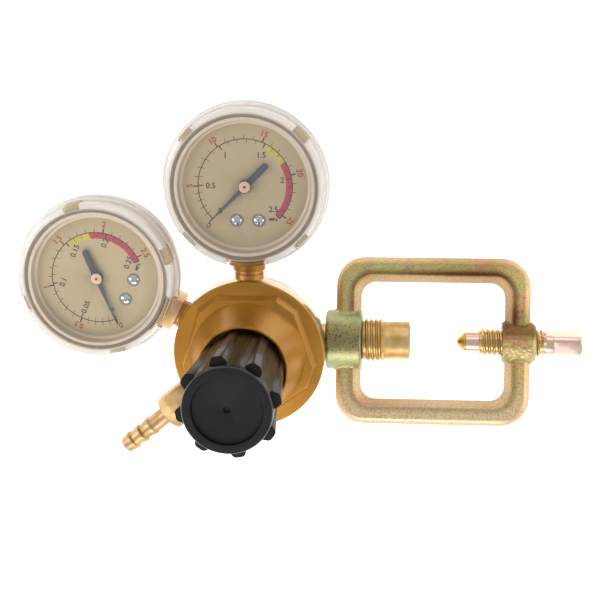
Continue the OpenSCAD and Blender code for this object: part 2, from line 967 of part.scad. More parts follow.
module union_nut() {
    color(brass)
    difference() {
        on_outlet(nut_start)
            intersection() {
                hexagon(nut_w, nut_end - nut_start);
                rotate_extrude()
                    polygon([[0, 0], [nut_w / 2, 0],
                        [nut_w / 2 * hex_over_flats + 0.1, nut_chamfer],
                        [nut_w / 2 * hex_over_flats + 0.1, nut_end - nut_start - nut_chamfer],
                        [nut_w / 2, nut_end - nut_start], [0, nut_end - nut_start]]);
            }
        on_outlet(nut_start - lap)
            cylinder(r = outlet_stem_r + run_gap, h = nut_end - nut_start - nut_lip + lap);
        on_outlet(nut_start - lap)
            cylinder(r = tail_r + run_gap, h = nut_end - nut_start + 2 * lap);
    }
}

module hose_tail() {
    shoulder = nut_end - nut_lip - face_gap;
    barb_start = tail_reach - barb_count * barb_len;
    ridges = [for (i = [0 : barb_count - 1]) let (x = barb_start + i * barb_len)
        each [[x + (i == 0 ? 0 : 0.5), i == 0 ? tail_r : barb_root_r], [x + 0.5, barb_r],
              [x + 1.3, barb_r], [x + barb_len, i == barb_count - 1 ? tail_tip_r : barb_root_r]]];
    profile = concat([[stem_end + 0.02, tail_bore_r], [stem_end + 0.02, tail_collar_r],
        [shoulder, tail_collar_r], [shoulder, tail_r]], ridges, [[tail_reach, tail_bore_r]]);
    color(brass)
        on_outlet(0)
            rotate_extrude()
                polygon([for (p = profile) [p[1], p[0]]]);
}

// Gauges

module at_gauge(a, out = 0) {
    rotate([0, 0, a - 90])
        translate([0, gauge_reach + out, port_h])
            children();
}

module gauge_case() {
    color(beige)
    difference() {
        union() {
            rotate_extrude()
                polygon([[0, -case_back], [case_r - 1.5, -case_back], [case_r, -case_back + 1.5],
                    [case_r, case_front - 0.5], [case_r - 0.5, case_front],
                    [case_r - case_wall + 0.2, case_front], [case_r - case_wall, case_front - 0.2],
                    [case_r - case_wall, -case_back + case_wall + 1],
                    [case_r - case_wall - 1, -case_back + case_wall], [0, -case_back + case_wall]]);
            for (a = tab_angles)
                rotate([0, 0, a])
                    translate([case_r - case_wall / 2, -tab_w / 2, tab_foot])
                        cube([tab_reach - case_r + case_wall / 2, tab_w, tab_t]);
        }
        translate([-block_w / 2, -case_r - 2, -block_depth / 2])
            cube([block_w, 4, block_depth]);
    }
}

// The clear cover: lens, side wall and a flange, with slots for the tabs
module gauge_cover() {
    lens_top = lens_foot + lens_t;
    color([0.9, 0.92, 0.92, 0.3])
    difference() {
        rotate_extrude()
            polygon([[0, lens_foot], [cover_side_r - cover_wall, lens_foot],
                [cover_side_r - cover_wall, cover_skirt_top - 1],
                [cover_r - 1.2, cover_skirt_top - 1], [cover_r - 1.2, cover_skirt_foot],
                [cover_r, cover_skirt_foot], [cover_r, cover_skirt_top - 0.4],
                [cover_r - 0.4, cover_skirt_top], [cover_side_r, cover_skirt_top],
                [cover_side_r, lens_top - 1], [cover_side_r - 0.3, lens_top - 0.3],
                [cover_side_r - 1, lens_top], [0, lens_top]]);
        translate([-block_w / 2 - 0.8, -cover_r - lap, cover_skirt_foot - lap])
            cube([block_w + 1.6, cover_r - case_r + lap + 1, notch_top - cover_skirt_foot + lap]);
        // slots that slide over the tabs
        for (a = tab_angles)
            rotate([0, 0, a])
                translate([case_r, -tab_w / 2 - 0.4, cover_skirt_foot - lap])
                    cube([slot_reach - case_r, tab_w + 0.8, slot_top - cover_skirt_foot + lap]);
    }
}

// The ring that holds the dial down under the lens
module gauge_ring() {
    color(beige)
        translate([0, 0, dial_h])
            ring(case_r - case_wall - 0.1, case_r - case_wall - 0.1 - ring_w, lens_foot - dial_h);
}

module gauge_dial() {
    color(beige)
    difference() {
        translate([0, 0, dial_h - dial_t])
            cylinder(r = dial_r, h = dial_t);
        translate([0, 0, dial_h - dial_t - lap])
            cylinder(r = spindle_r + 0.5, h = dial_t + 2 * lap);
        for (p = post_spots)
            translate([p[0], p[1], dial_h - dial_t - lap])
                cylinder(r = post_bore_r, h = dial_t + 2 * lap);
    }
}

module gauge_dial_screws() {
    color(steel)
    for (p = post_spots)
        translate([p[0], p[1], dial_h])
        difference() {
            union() {
                intersection() {
                    cylinder(r = screw_head_r, h = screw_head_t);
                    translate([0, 0, screw_head_t - 3.4])
                        sphere(r = 3.4);
                }
                translate([0, 0, -4])
                    cylinder(r = post_bore_r, h = 4 + lap);
            }
            for (a = [45, 135])
                rotate([0, 0, a])
                    translate([-1.1, -0.25, 0.4])
                        cube([2.2, 0.5, 2]);
        }
}

module gauge_pointer() {
    color([0.34, 0.38, 0.43])
    translate([0, 0, pointer_foot])
    difference() {
        union() {
            rotate([0, 0, -135]) {
                linear_extrude(pointer_t)
                    polygon([[0, -0.95], [pointer_len - 4, -0.3], [pointer_len, -0.1],
                        [pointer_len, 0.1], [pointer_len - 4, 0.3], [0, 0.95]]);
                translate([-tail_len + tail_w / 2, -tail_w / 2, 0])
                    cube([tail_len - tail_w / 2, tail_w, pointer_t]);
                translate([-tail_len + tail_w / 2, 0, 0])
                    cylinder(r = tail_w / 2, h = pointer_t);
            }
            cylinder(r = hub_r, h = hub_h);
        }
        translate([0, 0, -lap])
            cylinder(r = spindle_r, h = 3);
    }
}

// The block is square, or starts as a round collar of this length
module gauge_socket(out = 0, collar = 0) {
    foot = -block_depth / 2;
    color(brass)
    difference() {
        union() {
            translate([-block_w / 2, block_start + collar, foot])
                cube([block_w, block_end - block_start - collar, block_depth]);
            if (collar > 0)
                translate([0, block_start, 0])
                    rotate([-90, 0, 0])
                        chamfered(foot_collar_d / 2, collar + lap, 0.4);
            // bracket beside the tube's root, under the movement's low plate
            translate([-block_w / 2, block_end - lap, foot])
                cube([block_w / 2 - bracket_gap, bracket_len + lap, plate_low - foot]);
            translate([0, stem_end_y - out, 0])
                rotate([-90, 0, 0])
                    cylinder(r = stem_r, h = block_start - stem_end_y + out + lap);
        }
        translate([0, stem_end_y - out - lap, 0])
            rotate([-90, 0, 0])
                cylinder(r = port_bore_r, h = block_end - stem_end_y + out - 3);
    }
}

module gauge_washer() {
    color([0.72, 0.45, 0.30])
        translate([0, block_start, 0])
            rotate([90, 0, 0])
                ring(stem_r + 0.9, stem_r, gauge_reach + block_start - boss_reach);
}

module gauge_tube() {
    color(brass)
    union() {
        rotate([0, 0, tube_start])
            rotate_extrude(angle = tube_sweep)
                translate([tube_r - tube_w / 2, tube_foot])
                    square([tube_w, tube_top - tube_foot]);
        // root that is soldered to the socket's block
        translate([0, block_end, tube_foot + 2])
            cube([tube_r * cos(tube_start) + 0.3, tube_root_len, tube_top - tube_foot - 2]);
    }
}

// Where the crank's end lies when the sector has turned by half of its swing
crank_mid = [crank_r * cos(link_dir), pivot_y + crank_r * sin(link_dir)];
link_step = [-sin(link_dir), cos(link_dir)];

module gauge_link() {
    start = crank_mid - link_step * link_stroke / 2;
    color(brass)
    translate([start[0], start[1], link_foot])
        rotate([0, 0, link_dir + 90])
        difference() {
            union() {
                cylinder(r = link_eye_r, h = link_t);
                translate([0, -link_w / 2, 0])
                    cube([link_len, link_w, link_t]);
                translate([link_len, 0, 0])
                    cylinder(r = link_w / 2 + 0.5, h = link_t);
            }
            translate([0, 0, -lap])
                cylinder(r = link_pin_r + link_play, h = link_t + 2 * lap);
        }
}

module gauge_movement() {
    color(brass)
    difference() {
        union() {
            for (z = [plate_low, plate_high - gauge_plate_t])
                translate([gauge_plate_side, -gauge_plate_len / 2, z])
                    cube([gauge_plate_w, gauge_plate_len, gauge_plate_t]);
            translate([pillar_spot[0], pillar_spot[1], plate_low])
                cylinder(r = pillar_r, h = plate_high - plate_low);
            for (p = post_spots)
                translate([p[0], p[1], plate_low])
                    cylinder(r = post_r, h = dial_h - dial_t - plate_low);
        }
        for (y = [0, pivot_y])
            translate([0, y, plate_low - lap])
                cylinder(r = spindle_r + run_gap, h = plate_high - plate_low + 2 * lap);
        for (p = post_spots)
            translate([p[0], p[1], dial_h - 4])
                cylinder(r = post_bore_r, h = 4);
    }
}

module gauge_sector() {
    color(brass)
    translate([0, pivot_y, 0])
    union() {
        translate([0, 0, plate_low])
            cylinder(r = spindle_r, h = plate_high - plate_low);
        rotate([0, 0, -90 - sector_swing / 2])
            translate([0, 0, sector_foot])
                linear_extrude(sector_t)
                    intersection() {
                        circle(r = sector_r);
                        polygon([[-1.5, -1.8], [-1.5, 1.8],
                            2 * sector_r * [cos(sector_half), sin(sector_half)],
                            [2 * sector_r, 0],
                            2 * sector_r * [cos(sector_half), -sin(sector_half)]]);
                    }
        rotate([0, 0, link_dir - sector_swing / 2]) {
            translate([0, -crank_w / 2, sector_foot])
                cube([crank_r, crank_w, sector_t]);
            translate([crank_r, 0, sector_foot])
                cylinder(r = crank_w / 2, h = sector_t);
            translate([crank_r, 0, sector_foot])
                cylinder(r = link_pin_r, h = link_foot + link_t - sector_foot);
        }
    }
}

module gauge_spindle() {
    color(steel)
    union() {
        translate([0, 0, plate_low])
            cylinder(r = spindle_r, h = pointer_foot + 1.5 - plate_low);
        translate([0, 0, sector_foot - 0.4])
            cylinder(r = pinion_r, h = sector_t + 0.8);
    }
}

module high_case() { at_gauge(high_angle, high_out) gauge_case(); }
module high_cover() { at_gauge(high_angle, high_out) gauge_cover(); }
module high_ring() { at_gauge(high_angle, high_out) gauge_ring(); }
module high_dial() { at_gauge(high_angle, high_out) gauge_dial(); }
module high_dial_screws() { at_gauge(high_angle, high_out) gauge_dial_screws(); }
module high_pointer() { at_gauge(high_angle, high_out) gauge_pointer(); }
module high_socket() { at_gauge(high_angle, high_out) gauge_socket(high_out, foot_collar_len); }
module high_washer() { at_gauge(high_angle, high_out) gauge_washer(); }
module high_tube() { at_gauge(high_angle, high_out) gauge_tube(); }
module high_link() { at_gauge(high_angle, high_out) gauge_link(); }
module high_movement() { at_gauge(high_angle, high_out) gauge_movement(); }
module high_sector() { at_gauge(high_angle, high_out) gauge_sector(); }
module high_spindle() { at_gauge(high_angle, high_out) gauge_spindle(); }

module low_case() { at_gauge(low_angle) gauge_case(); }
module low_cover() { at_gauge(low_angle) gauge_cover(); }
module low_ring() { at_gauge(low_angle) gauge_ring(); }
module low_socket() { at_gauge(low_angle) gauge_socket(); }
module low_washer() { at_gauge(low_angle) gauge_washer(); }
module low_tube() { at_gauge(low_angle) gauge_tube(); }

// The low-pressure movement sits a little turned in its case, and its dial with it
module low_turned() {
    at_gauge(low_angle)
        rotate([0, 0, low_dial_turn])
            children();
}
module low_dial() { low_turned() gauge_dial(); }
module low_dial_screws() { low_turned() gauge_dial_screws(); }
module low_pointer() { low_turned() gauge_pointer(); }
module low_link() { low_turned() gauge_link(); }
module low_movement() { low_turned() gauge_movement(); }
module low_sector() { low_turned() gauge_sector(); }
module low_spindle() { low_turned() gauge_spindle(); }

body();
bonnet();
diaphragm();
diaphragm_plate();
diaphragm_nut();
adjusting_spring();
spring_button();
adjusting_screw();
knob();
nozzle();
push_pin();
poppet();
seat_disc();
poppet_spring();
rear_cap();
rear_seal();
inlet_nipple();
inlet_filter();
inlet_washer();
yoke();
yoke_screw();
yoke_point();
outlet_stem();
union_nut();
hose_tail();
high_case();
high_cover();
high_ring();
high_dial();
high_dial_screws();
high_pointer();
high_socket();
high_washer();
high_tube();
high_link();
high_movement();
high_sector();
high_spindle();
low_case();
low_cover();
low_ring();
low_dial();
low_dial_screws();
low_pointer();
low_socket();
low_washer();
low_tube();
low_link();
low_movement();
low_sector();
low_spindle();
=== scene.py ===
import math

import bmesh
import bpy
from mathutils import Euler, Matrix, Vector, noise


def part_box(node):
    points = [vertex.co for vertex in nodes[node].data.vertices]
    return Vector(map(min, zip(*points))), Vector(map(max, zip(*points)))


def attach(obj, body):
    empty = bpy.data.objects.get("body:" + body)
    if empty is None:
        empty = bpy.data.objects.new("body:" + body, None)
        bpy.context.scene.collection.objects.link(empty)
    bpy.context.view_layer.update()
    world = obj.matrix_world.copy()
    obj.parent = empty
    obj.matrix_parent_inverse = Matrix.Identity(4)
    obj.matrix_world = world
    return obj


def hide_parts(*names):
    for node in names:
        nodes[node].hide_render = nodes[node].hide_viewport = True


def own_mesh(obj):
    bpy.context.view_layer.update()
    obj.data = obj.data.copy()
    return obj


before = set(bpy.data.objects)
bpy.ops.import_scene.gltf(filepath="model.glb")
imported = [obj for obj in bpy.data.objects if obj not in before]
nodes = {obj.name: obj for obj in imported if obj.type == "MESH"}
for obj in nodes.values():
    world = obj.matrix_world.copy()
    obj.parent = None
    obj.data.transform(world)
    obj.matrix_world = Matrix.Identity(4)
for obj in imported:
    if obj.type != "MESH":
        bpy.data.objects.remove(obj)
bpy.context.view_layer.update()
scene = bpy.context.scene
mm = 0.001   # shapes are made in millimetres and put into metres at the end


# helpers

clean = {"weld": 0.001, "cadWeld": 0.002, "cut": 1e-4, "flatBend": 0.6}   # mm, the bend in degrees
flatFace = {"curveFrom": 0.005, "curveTo": 0.13,   # radians between two facets of a gentle curve
            "breadth": 0.35}                       # area for each mm of its outline
ridgeShares = (0, 0.08, 0.44, 0.56, 0.92, 1)       # where a thread's outline turns, in pitches
ridgeEnd = {"height": 0.1, "slope": 1.1}           # how a thread's ridge starts at either end


def linear(hexColour):
    channels = [int(hexColour[i:i + 2], 16) / 255 for i in (1, 3, 5)]
    return [c / 12.92 if c <= 0.04045 else ((c + 0.055) / 1.055) ** 2.4 for c in channels] + [1]


def rise(value, start, end):
    # 0 before start, 1 past end
    return max(0.0, min(1.0, (value - start) / (end - start)))


def fall(value, start, end):
    # 1 before start, 0 past end
    return 1 - rise(value, start, end)


def perMm(size):
    # a pattern's scale from its real size in millimetres
    return 1 / (size * mm)


def boxOf(node):
    low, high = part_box(node)
    return low / mm, high / mm


def feed(tree, node, inputs):
    # an input is a number, a hex colour, another node's output, or a node for its first output
    for socket, value in inputs.items():
        if isinstance(value, bpy.types.Node):
            value = value.outputs[0]
        if isinstance(value, bpy.types.NodeSocket):
            tree.links.new(value, node.inputs[socket])
        else:
            node.inputs[socket].default_value = linear(value) if isinstance(value, str) else value


def addNode(tree, kind, inputs=None, stops=None, **settings):
    # kind is the node's type without its ShaderNode; stops are a colour ramp's marks, each a place
    # with a hex colour or a grey level
    node = tree.nodes.new("ShaderNode" + kind)
    for key, value in settings.items():
        setattr(node, key, value)
    feed(tree, node, inputs or {})
    if stops:
        marks = node.color_ramp.elements
        while len(marks) < len(stops):
            marks.new(0.5)
        for mark, (place, colour) in zip(marks, stops):
            mark.position = place
            mark.color = linear(colour) if isinstance(colour, str) else (colour, colour, colour, 1)
    return node


def emptyTree(owner):
    owner.use_nodes = True
    owner.node_tree.nodes.clear()
    return owner.node_tree


def newMaterial(name, look):
    # look holds the shader's own constant values
    material = bpy.data.materials.new(name)
    tree = emptyTree(material)
    shader = addNode(tree, "BsdfPrincipled", look)
    addNode(tree, "OutputMaterial", {"Surface": shader})
    return material, tree, shader


def copyOf(node):
    # a CAD node's mesh in millimetres, with its flat faces whole again
    bm = bmesh.new()
    bm.from_mesh(nodes[node].data)
    bmesh.ops.scale(bm, vec=(1 / mm,) * 3, verts=bm.verts)
    bmesh.ops.remove_doubles(bm, verts=bm.verts, dist=clean["cadWeld"])
    bmesh.ops.dissolve_limit(bm, angle_limit=math.radians(clean["flatBend"]),
                             verts=bm.verts, edges=bm.edges)
    return bm


def soften(bm, width, segments=2, sharperThan=28):
    # breaks the edges that bend by more than so many degrees
    limit = math.radians(sharperThan)
    edges = [e for e in bm.edges if e.is_manifold and e.calc_face_angle(0) > limit]
    bmesh.ops.bevel(bm, geom=edges, offset=width, offset_type="OFFSET", segments=segments,
                    profile=0.5, affect="EDGES", clamp_overlap=True, material=-1)


def turned(sizes, profile, width=0.0, steps=96):
    # a closed outline of (radius, height), each a number or the name of one of the sizes, with its
    # corners rounded, spun about Z
    bm = bmesh.new()
    corners = [bm.verts.new((sizes.get(r, r), 0, sizes.get(z, z))) for r, z in profile]
    bm.faces.new(corners)
    if width:
        rounded = [v for v in corners if v.co.x > clean["weld"]]
        bmesh.ops.bevel(bm, geom=rounded, offset=width, offset_type="OFFSET", segments=3,
                        profile=0.5, affect="VERTICES", clamp_overlap=True, material=-1)
    bmesh.ops.delete(bm, geom=bm.faces[:], context="FACES_ONLY")
    onAxis = [e for e in bm.edges if all(v.co.x < clean["weld"] for v in e.verts)]
    bmesh.ops.delete(bm, geom=onAxis, context="EDGES")
    bmesh.ops.spin(bm, geom=bm.verts[:] + bm.edges[:], cent=(0, 0, 0), axis=(0, 0, 1),
                   angle=2 * math.pi, steps=steps, use_merge=True)
    bmesh.ops.remove_doubles(bm, verts=bm.verts, dist=clean["weld"])
    bmesh.ops.recalc_face_normals(bm, faces=bm.faces)
    return bm


def closeHoles(bm):
    bmesh.ops.holes_fill(bm, edges=[e for e in bm.edges if e.is_boundary], sides=0)


def sliceOff(bm, spot, outwards):
    # takes away what lies past a plane
    bmesh.ops.bisect_plane(bm, geom=bm.verts[:] + bm.edges[:] + bm.faces[:], dist=clean["cut"],
                           plane_co=spot, plane_no=outwards, clear_outer=True)


def helix(rootR, crestR, pitch, length, steps=64):
    # a right-handed thread along Z with its ends capped and their ridges run out
    bm = bmesh.new()
    radii = (rootR, rootR, crestR, crestR, rootR, rootR)
    verts = [bm.verts.new((r, 0, share * pitch)) for r, share in zip(radii, ridgeShares)]
    edges = [bm.edges.new(pair) for pair in zip(verts, verts[1:])]
    turns = math.ceil(length / pitch) + 2
    bmesh.ops.spin(bm, geom=verts + edges, cent=(0, 0, 0), axis=(0, 0, 1),
                   dvec=(0, 0, pitch / steps), angle=2 * math.pi * turns, steps=steps * turns,
                   use_merge=False)
    bmesh.ops.remove_doubles(bm, verts=bm.verts, dist=clean["cadWeld"])
    bmesh.ops.translate(bm, verts=bm.verts, vec=(0, 0, -pitch))
    sliceOff(bm, (0, 0, 0), (0, 0, -1))
    sliceOff(bm, (0, 0, length), (0, 0, 1))
    for v in bm.verts:
        radius = math.hypot(v.co.x, v.co.y)
        fromEnd = min(v.co.z, length - v.co.z)
        allowed = rootR + ridgeEnd["height"] + ridgeEnd["slope"] * fromEnd
        if radius > allowed:
            v.co.x *= allowed / radius
            v.co.y *= allowed / radius
    closeHoles(bm)
    bmesh.ops.recalc_face_normals(bm, faces=bm.faces)
    return bm


def newObject(name, data):
    thing = bpy.data.objects.new(name, data)
    scene.collection.objects.link(thing)
    return thing


def meshFrom(name, bm):
    mesh = bpy.data.meshes.new(name)
    bm.to_mesh(mesh)
    bm.free()
    return mesh


def join(*parts):
    # one bmesh from several, each moved by its matrix
    whole = bmesh.new()
    for part, matrix in parts:
        mesh = meshFrom("part", part)
        mesh.transform(matrix)
        whole.from_mesh(mesh)
        bpy.data.meshes.remove(mesh)
    return whole


def through(bm, *modifiers):
    # a shape after these modifiers, each a kind and its settings
    mesh = meshFrom("raw", bm)
    raw = newObject("raw", mesh)
    for kind, settings in modifiers:
        modifier = raw.modifiers.new(kind, kind)
        for key, value in settings.items():
            setattr(modifier, key, value)
    result = bmesh.new()
    result.from_object(raw, bpy.context.evaluated_depsgraph_get())
    bpy.data.objects.remove(raw)
    bpy.data.meshes.remove(mesh)
    return result


def isFlat(face):
    # a broad flat between broken edges, and not one facet of a gentle curve
    bends = [e.calc_face_angle(0) for e in face.edges]
    curving = any(flatFace["curveFrom"] < bend < flatFace["curveTo"] for bend in bends)
    return not curving and face.calc_area() / face.calc_perimeter() > flatFace["breadth"]


def dress(bm, name, materials, body, stands=(), smooth=38, place=None):
    # a finished piece: in metres, smooth but for its flats and sharp edges, riding its body
    if place:
        bmesh.ops.transform(bm, matrix=place, verts=bm.verts)
    for face in bm.faces:
        face.smooth = not isFlat(face)
    bmesh.ops.scale(bm, vec=(mm,) * 3, verts=bm.verts)
    mesh = meshFrom(name, bm)
    for material in materials if isinstance(materials, (list, tuple)) else [materials]:
        mesh.materials.append(material)
    mesh.set_sharp_from_angle(angle=math.radians(smooth))
    piece = newObject(name, mesh)
    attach(piece, body)
    if stands:
        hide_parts(*stands)
    return piece


def camel(node):
    first, *rest = node.split("_")
    return first + "".join(word.capitalize() for word in rest)


def softCopy(node, material, body, slot, edge):
    # a piece with the CAD's own shape, its edges broken
    shell = copyOf(node)
    soften(shell, edge)
    dress(shell, camel(node), material, body, [node])


# camera, light and floor

cameraSetup = {
    "turn": (16.09, -4.94, -0.90),   # degrees off straight above
    "aim": (18.85, 15.96, 18.0),     # mm, the point in the middle of the picture
    "distance": 565.5,               # mm
    "lens": 80.4,
    "sensor": 36.0,
    "nearest": 20,                   # mm, nothing nearer is seen
}
cameraData = bpy.data.cameras.new("camera")
cameraData.lens = cameraSetup["lens"]
cameraData.sensor_width = cameraSetup["sensor"]
cameraData.clip_start = cameraSetup["nearest"] * mm
camera = newObject("camera", cameraData)
scene.camera = camera
turn = Euler([math.radians(a) for a in cameraSetup["turn"]], "XYZ").to_matrix().transposed()
aimX, aimY, aimZ = cameraSetup["aim"]
place = turn @ Vector((aimX, aimY, cameraSetup["distance"])) + Vector((0, 0, aimZ))
camera.matrix_world = Matrix.Translation(place * mm) @ turn.to_4x4()

softboxes = {
    # place and aim in mm, width and height in mm, watts
    "front": ((-60, -620, 520), (20, 0, 40), 640, 300, 2.4),
    "back": ((60, 640, 420), (20, 0, 40), 640, 260, 0.6),
    "left": ((-640, 40, 430), (0, 0, 40), 260, 560, 1.6),
    "right": ((740, -40, 400), (40, 0, 40), 260, 560, 1.2),
}
for name, (spot, aim, width, height, watts) in softboxes.items():
    light = bpy.data.lights.new(name, "AREA")
    light.shape = "RECTANGLE"
    light.size = width * mm
    light.size_y = height * mm
    light.energy = watts
    lamp = newObject(name, light)
    lamp.location = Vector(spot) * mm
    lamp.rotation_mode = "QUATERNION"
    lamp.rotation_quaternion = (Vector(aim) - Vector(spot)).to_track_quat("-Z", "Y")

studio = {
    "horizon": 0.98, "zenith": 0.55, "backWall": 0.4,   # how bright the walls and the ceiling are
    "wallTop": 0.15, "ceiling": 0.75,                   # where that changes, 1 straight up
    "backMiddle": 0.32, "backCeiling": 0.8,             # the same on the unlit wall at the back
    "backFrom": 0.1, "backTo": 0.55,                    # where that wall begins, 1 straight back
    "floorHalf": 3000, "floorBelow": 0.3,               # mm
    "floorGlow": 0.85, "paper": "#F2F2F0", "white": "#FFFFFF",
}
world = bpy.data.worlds.new("studio")
scene.world = world
tree = emptyTree(world)
outwards = addNode(tree, "TexCoord").outputs["Generated"]
upward = addNode(tree, "SeparateXYZ", {0: outwards})
dome = addNode(tree, "ValToRGB", {0: upward.outputs["Z"]}, stops=[
    (studio["wallTop"], studio["horizon"]), (studio["ceiling"], studio["zenith"])])
unlit = addNode(tree, "ValToRGB", {0: upward.outputs["Z"]}, stops=[
    (studio["wallTop"], studio["horizon"]), (studio["backMiddle"], studio["backWall"]),
    (studio["backCeiling"], studio["zenith"])])
behind = addNode(tree, "MapRange", {
    0: upward.outputs["Y"], 1: studio["backFrom"], 2: studio["backTo"]})
room = addNode(tree, "Mix", {0: behind, 6: dome, 7: unlit}, data_type="RGBA")
path = addNode(tree, "LightPath")
lit = addNode(tree, "Background", {"Color": room.outputs[2], "Strength": 1.0})
seen = addNode(tree, "Background", {"Color": studio["white"], "Strength": 1.0})
either = addNode(tree, "MixShader", {0: path.outputs["Is Camera Ray"], 1: lit, 2: seen})
addNode(tree, "OutputWorld", {"Surface": either})

bm = bmesh.new()
bmesh.ops.create_grid(bm, x_segments=1, y_segments=1, size=studio["floorHalf"] * mm)
bmesh.ops.translate(bm, verts=bm.verts, vec=(0, 0, -studio["floorBelow"] * mm))
floor = newObject("floor", meshFrom("floor", bm))
# white paper sweep: a little glow keeps it white to the eye and in reflections
paper = bpy.data.materials.new("paper sweep")
tree = emptyTree(paper)
path = addNode(tree, "LightPath")
direct = path.outputs["Is Camera Ray"]
for ray in ("Is Transmission Ray", "Is Glossy Ray"):
    direct = addNode(tree, "Math", {0: direct, 1: path.outputs[ray]}, operation="MAXIMUM")
strength = addNode(tree, "Math", {0: direct, 1: studio["floorGlow"]}, operation="MULTIPLY")
glow = addNode(tree, "Emission", {"Color": studio["white"], "Strength": strength})
matt = addNode(tree, "BsdfDiffuse", {"Color": studio["paper"]})
both = addNode(tree, "AddShader", {0: glow, 1: matt})
addNode(tree, "OutputMaterial", {"Surface": both})
floor.data.materials.append(paper)
scene.view_settings.view_transform = "Standard"
print("camera, light and floor made")


# materials: a Map Range has its value at 0, its limits at 1 and 2 and what they become at 3 and 4,
# and a Mix has its factor at 0, its colours at 6 and 7 and its result at 2

noiseLimits = {1: 0.3, 2: 0.7}   # most of a noise's values lie between these
lacquerLook = {"cloudMm": 14, "peelMm": 0.9, "depth": 0.02, "deep": "#AB7620", "pale": "#BA8427",
               "rough": (0.42, 0.52)}
brassLook = {"stainMm": 5, "darkTo": 0.35, "paleFrom": 0.62, "lineMm": 0.3, "depth": 0.012,
             "duller": 0.06, "brighter": 0.04}   # roughness added on stains and taken off between
steelLook = {"driftMm": 4, "firstTo": 0.38, "secondFrom": 0.66, "duller": 0.12}
castingLook = {
    "cloudMm": 11, "grainMm": 0.7, "pitMm": 1.25, "pitPatchMm": 3.5, "lumpMm": 2.3, "depth": 0.1,
    "drift": [(0.38, "#EAB488"), (0.46, "#EBC286"), (0.53, "#E6CB80"), (0.62, "#DACF84")],
    "mint": [(0.35, "#A8B487"), (0.6, "#C2BF85")], "flecks": [(0.3, 0.66), (0.56, 1.0)],
    # the pale light tone is painted light, and the brown tone of the shade mark painted shade
    "light": "#F6DDB2", "flank": "#CDAE8C", "rosy": "#E9B091", "shade": "#6A4516", "pit": "#2A2414",
    "pitEdge": (0.18, 0.32), "pitPatch": (0.95, 1.35), "lumpHeight": -6.0, "rough": (0.36, 0.48),
}
coverLook = {
    "flange": 0.5,   # the haze is 0 on the lens, this on the flange and 1 at its edge
    # the tints: milky white is painted light gathered in the clear plastic, the darker last one a
    # painted line at the flange's edge
    "tints": [(0.0, "#FDFBFA"), (0.5, "#FCF9F5"), (0.75, "#FAF7F3"), (1.0, "#DCD4CD")],
    "rough": (0.02, 0.12), "passing": (1.0, 0.6), "shadow": "#F7F1EC",
}
# of these, the light mark is painted light and the shade mark painted shade
yokeMarks = ("flank", "green", "light", "rosy", "shade", "pitted", "lumpy")   # painted attributes


def goldLacquer():
    # forged brass under clear gold lacquer: deep amber metal, soft wide highlights and a faint
    # orange peel
    look = lacquerLook
    material, tree, shader = newMaterial("gold lacquered brass forging", {
        "Metallic": 0.78, "Coat Weight": 0.45, "Coat Roughness": 0.25, "Coat IOR": 1.5})
    point = addNode(tree, "TexCoord").outputs["Object"]
    cloud = addNode(tree, "TexNoise", {
        "Vector": point, "Scale": perMm(look["cloudMm"]), "Detail": 3})
    colour = addNode(tree, "ValToRGB", {0: cloud.outputs["Fac"]},
                     stops=[(noiseLimits[1], look["deep"]), (noiseLimits[2], look["pale"])])
    rough = addNode(tree, "MapRange", {
        0: cloud.outputs["Fac"], **noiseLimits, 3: look["rough"][0], 4: look["rough"][1]})
    peel = addNode(tree, "TexNoise", {
        "Vector": point, "Scale": perMm(look["peelMm"]), "Detail": 2})
    bump = addNode(tree, "Bump", {
        "Height": peel.outputs["Fac"], "Distance": look["depth"] * mm, "Strength": 0.5})
    feed(tree, shader, {"Base Color": colour, "Roughness": rough, "Normal": bump})
    return material


def machinedBrass(name, pale, dark, roughness, axis=None):
    # turned brass: bright yellow metal with slight tarnish and, where an axis is given, tool lines
    # round it, coarser than the real feed
    look = brassLook
    material, tree, shader = newMaterial(name, {"Metallic": 1.0})
    point = addNode(tree, "TexCoord").outputs["Object"]
    cloud = addNode(tree, "TexNoise", {
        "Vector": point, "Scale": perMm(look["stainMm"]), "Detail": 4})
    colour = addNode(tree, "ValToRGB", {0: cloud.outputs["Fac"]},
                     stops=[(look["darkTo"], dark), (look["paleFrom"], pale)])
    rough = addNode(tree, "MapRange", {
        0: cloud.outputs["Fac"], **noiseLimits,
        3: roughness + look["duller"], 4: roughness - look["brighter"]})
    feed(tree, shader, {"Base Color": colour, "Roughness": rough})
    if axis:
        along = addNode(tree, "VectorMath", {0: point, 1: axis}, operation="DOT_PRODUCT")
        lines = addNode(tree, "TexNoise", {
            "W": along.outputs["Value"], "Scale": perMm(look["lineMm"]), "Detail": 1},
            noise_dimensions="1D")
        bump = addNode(tree, "Bump", {
            "Height": lines.outputs["Fac"], "Distance": look["depth"] * mm, "Strength": 0.6})
        feed(tree, shader, {"Normal": bump})
    return material


def plainMaterial(name, colour, roughness, metallic=0.0, grainMm=0.4, depthMm=0.01, **more):
    # an even surface with only a fine grain; more is the shader's other inputs, with _ for a space
    look = {"Base Color": colour, "Roughness": roughness, "Metallic": metallic}
    look.update({key.replace("_", " "): value for key, value in more.items()})
    material, tree, shader = newMaterial(name, look)
    point = addNode(tree, "TexCoord").outputs["Object"]
    grain = addNode(tree, "TexNoise", {"Vector": point, "Scale": perMm(grainMm), "Detail": 2})
    bump = addNode(tree, "Bump", {
        "Height": grain.outputs["Fac"], "Distance": depthMm * mm, "Strength": 0.5})
    feed(tree, shader, {"Normal": bump})
    return material


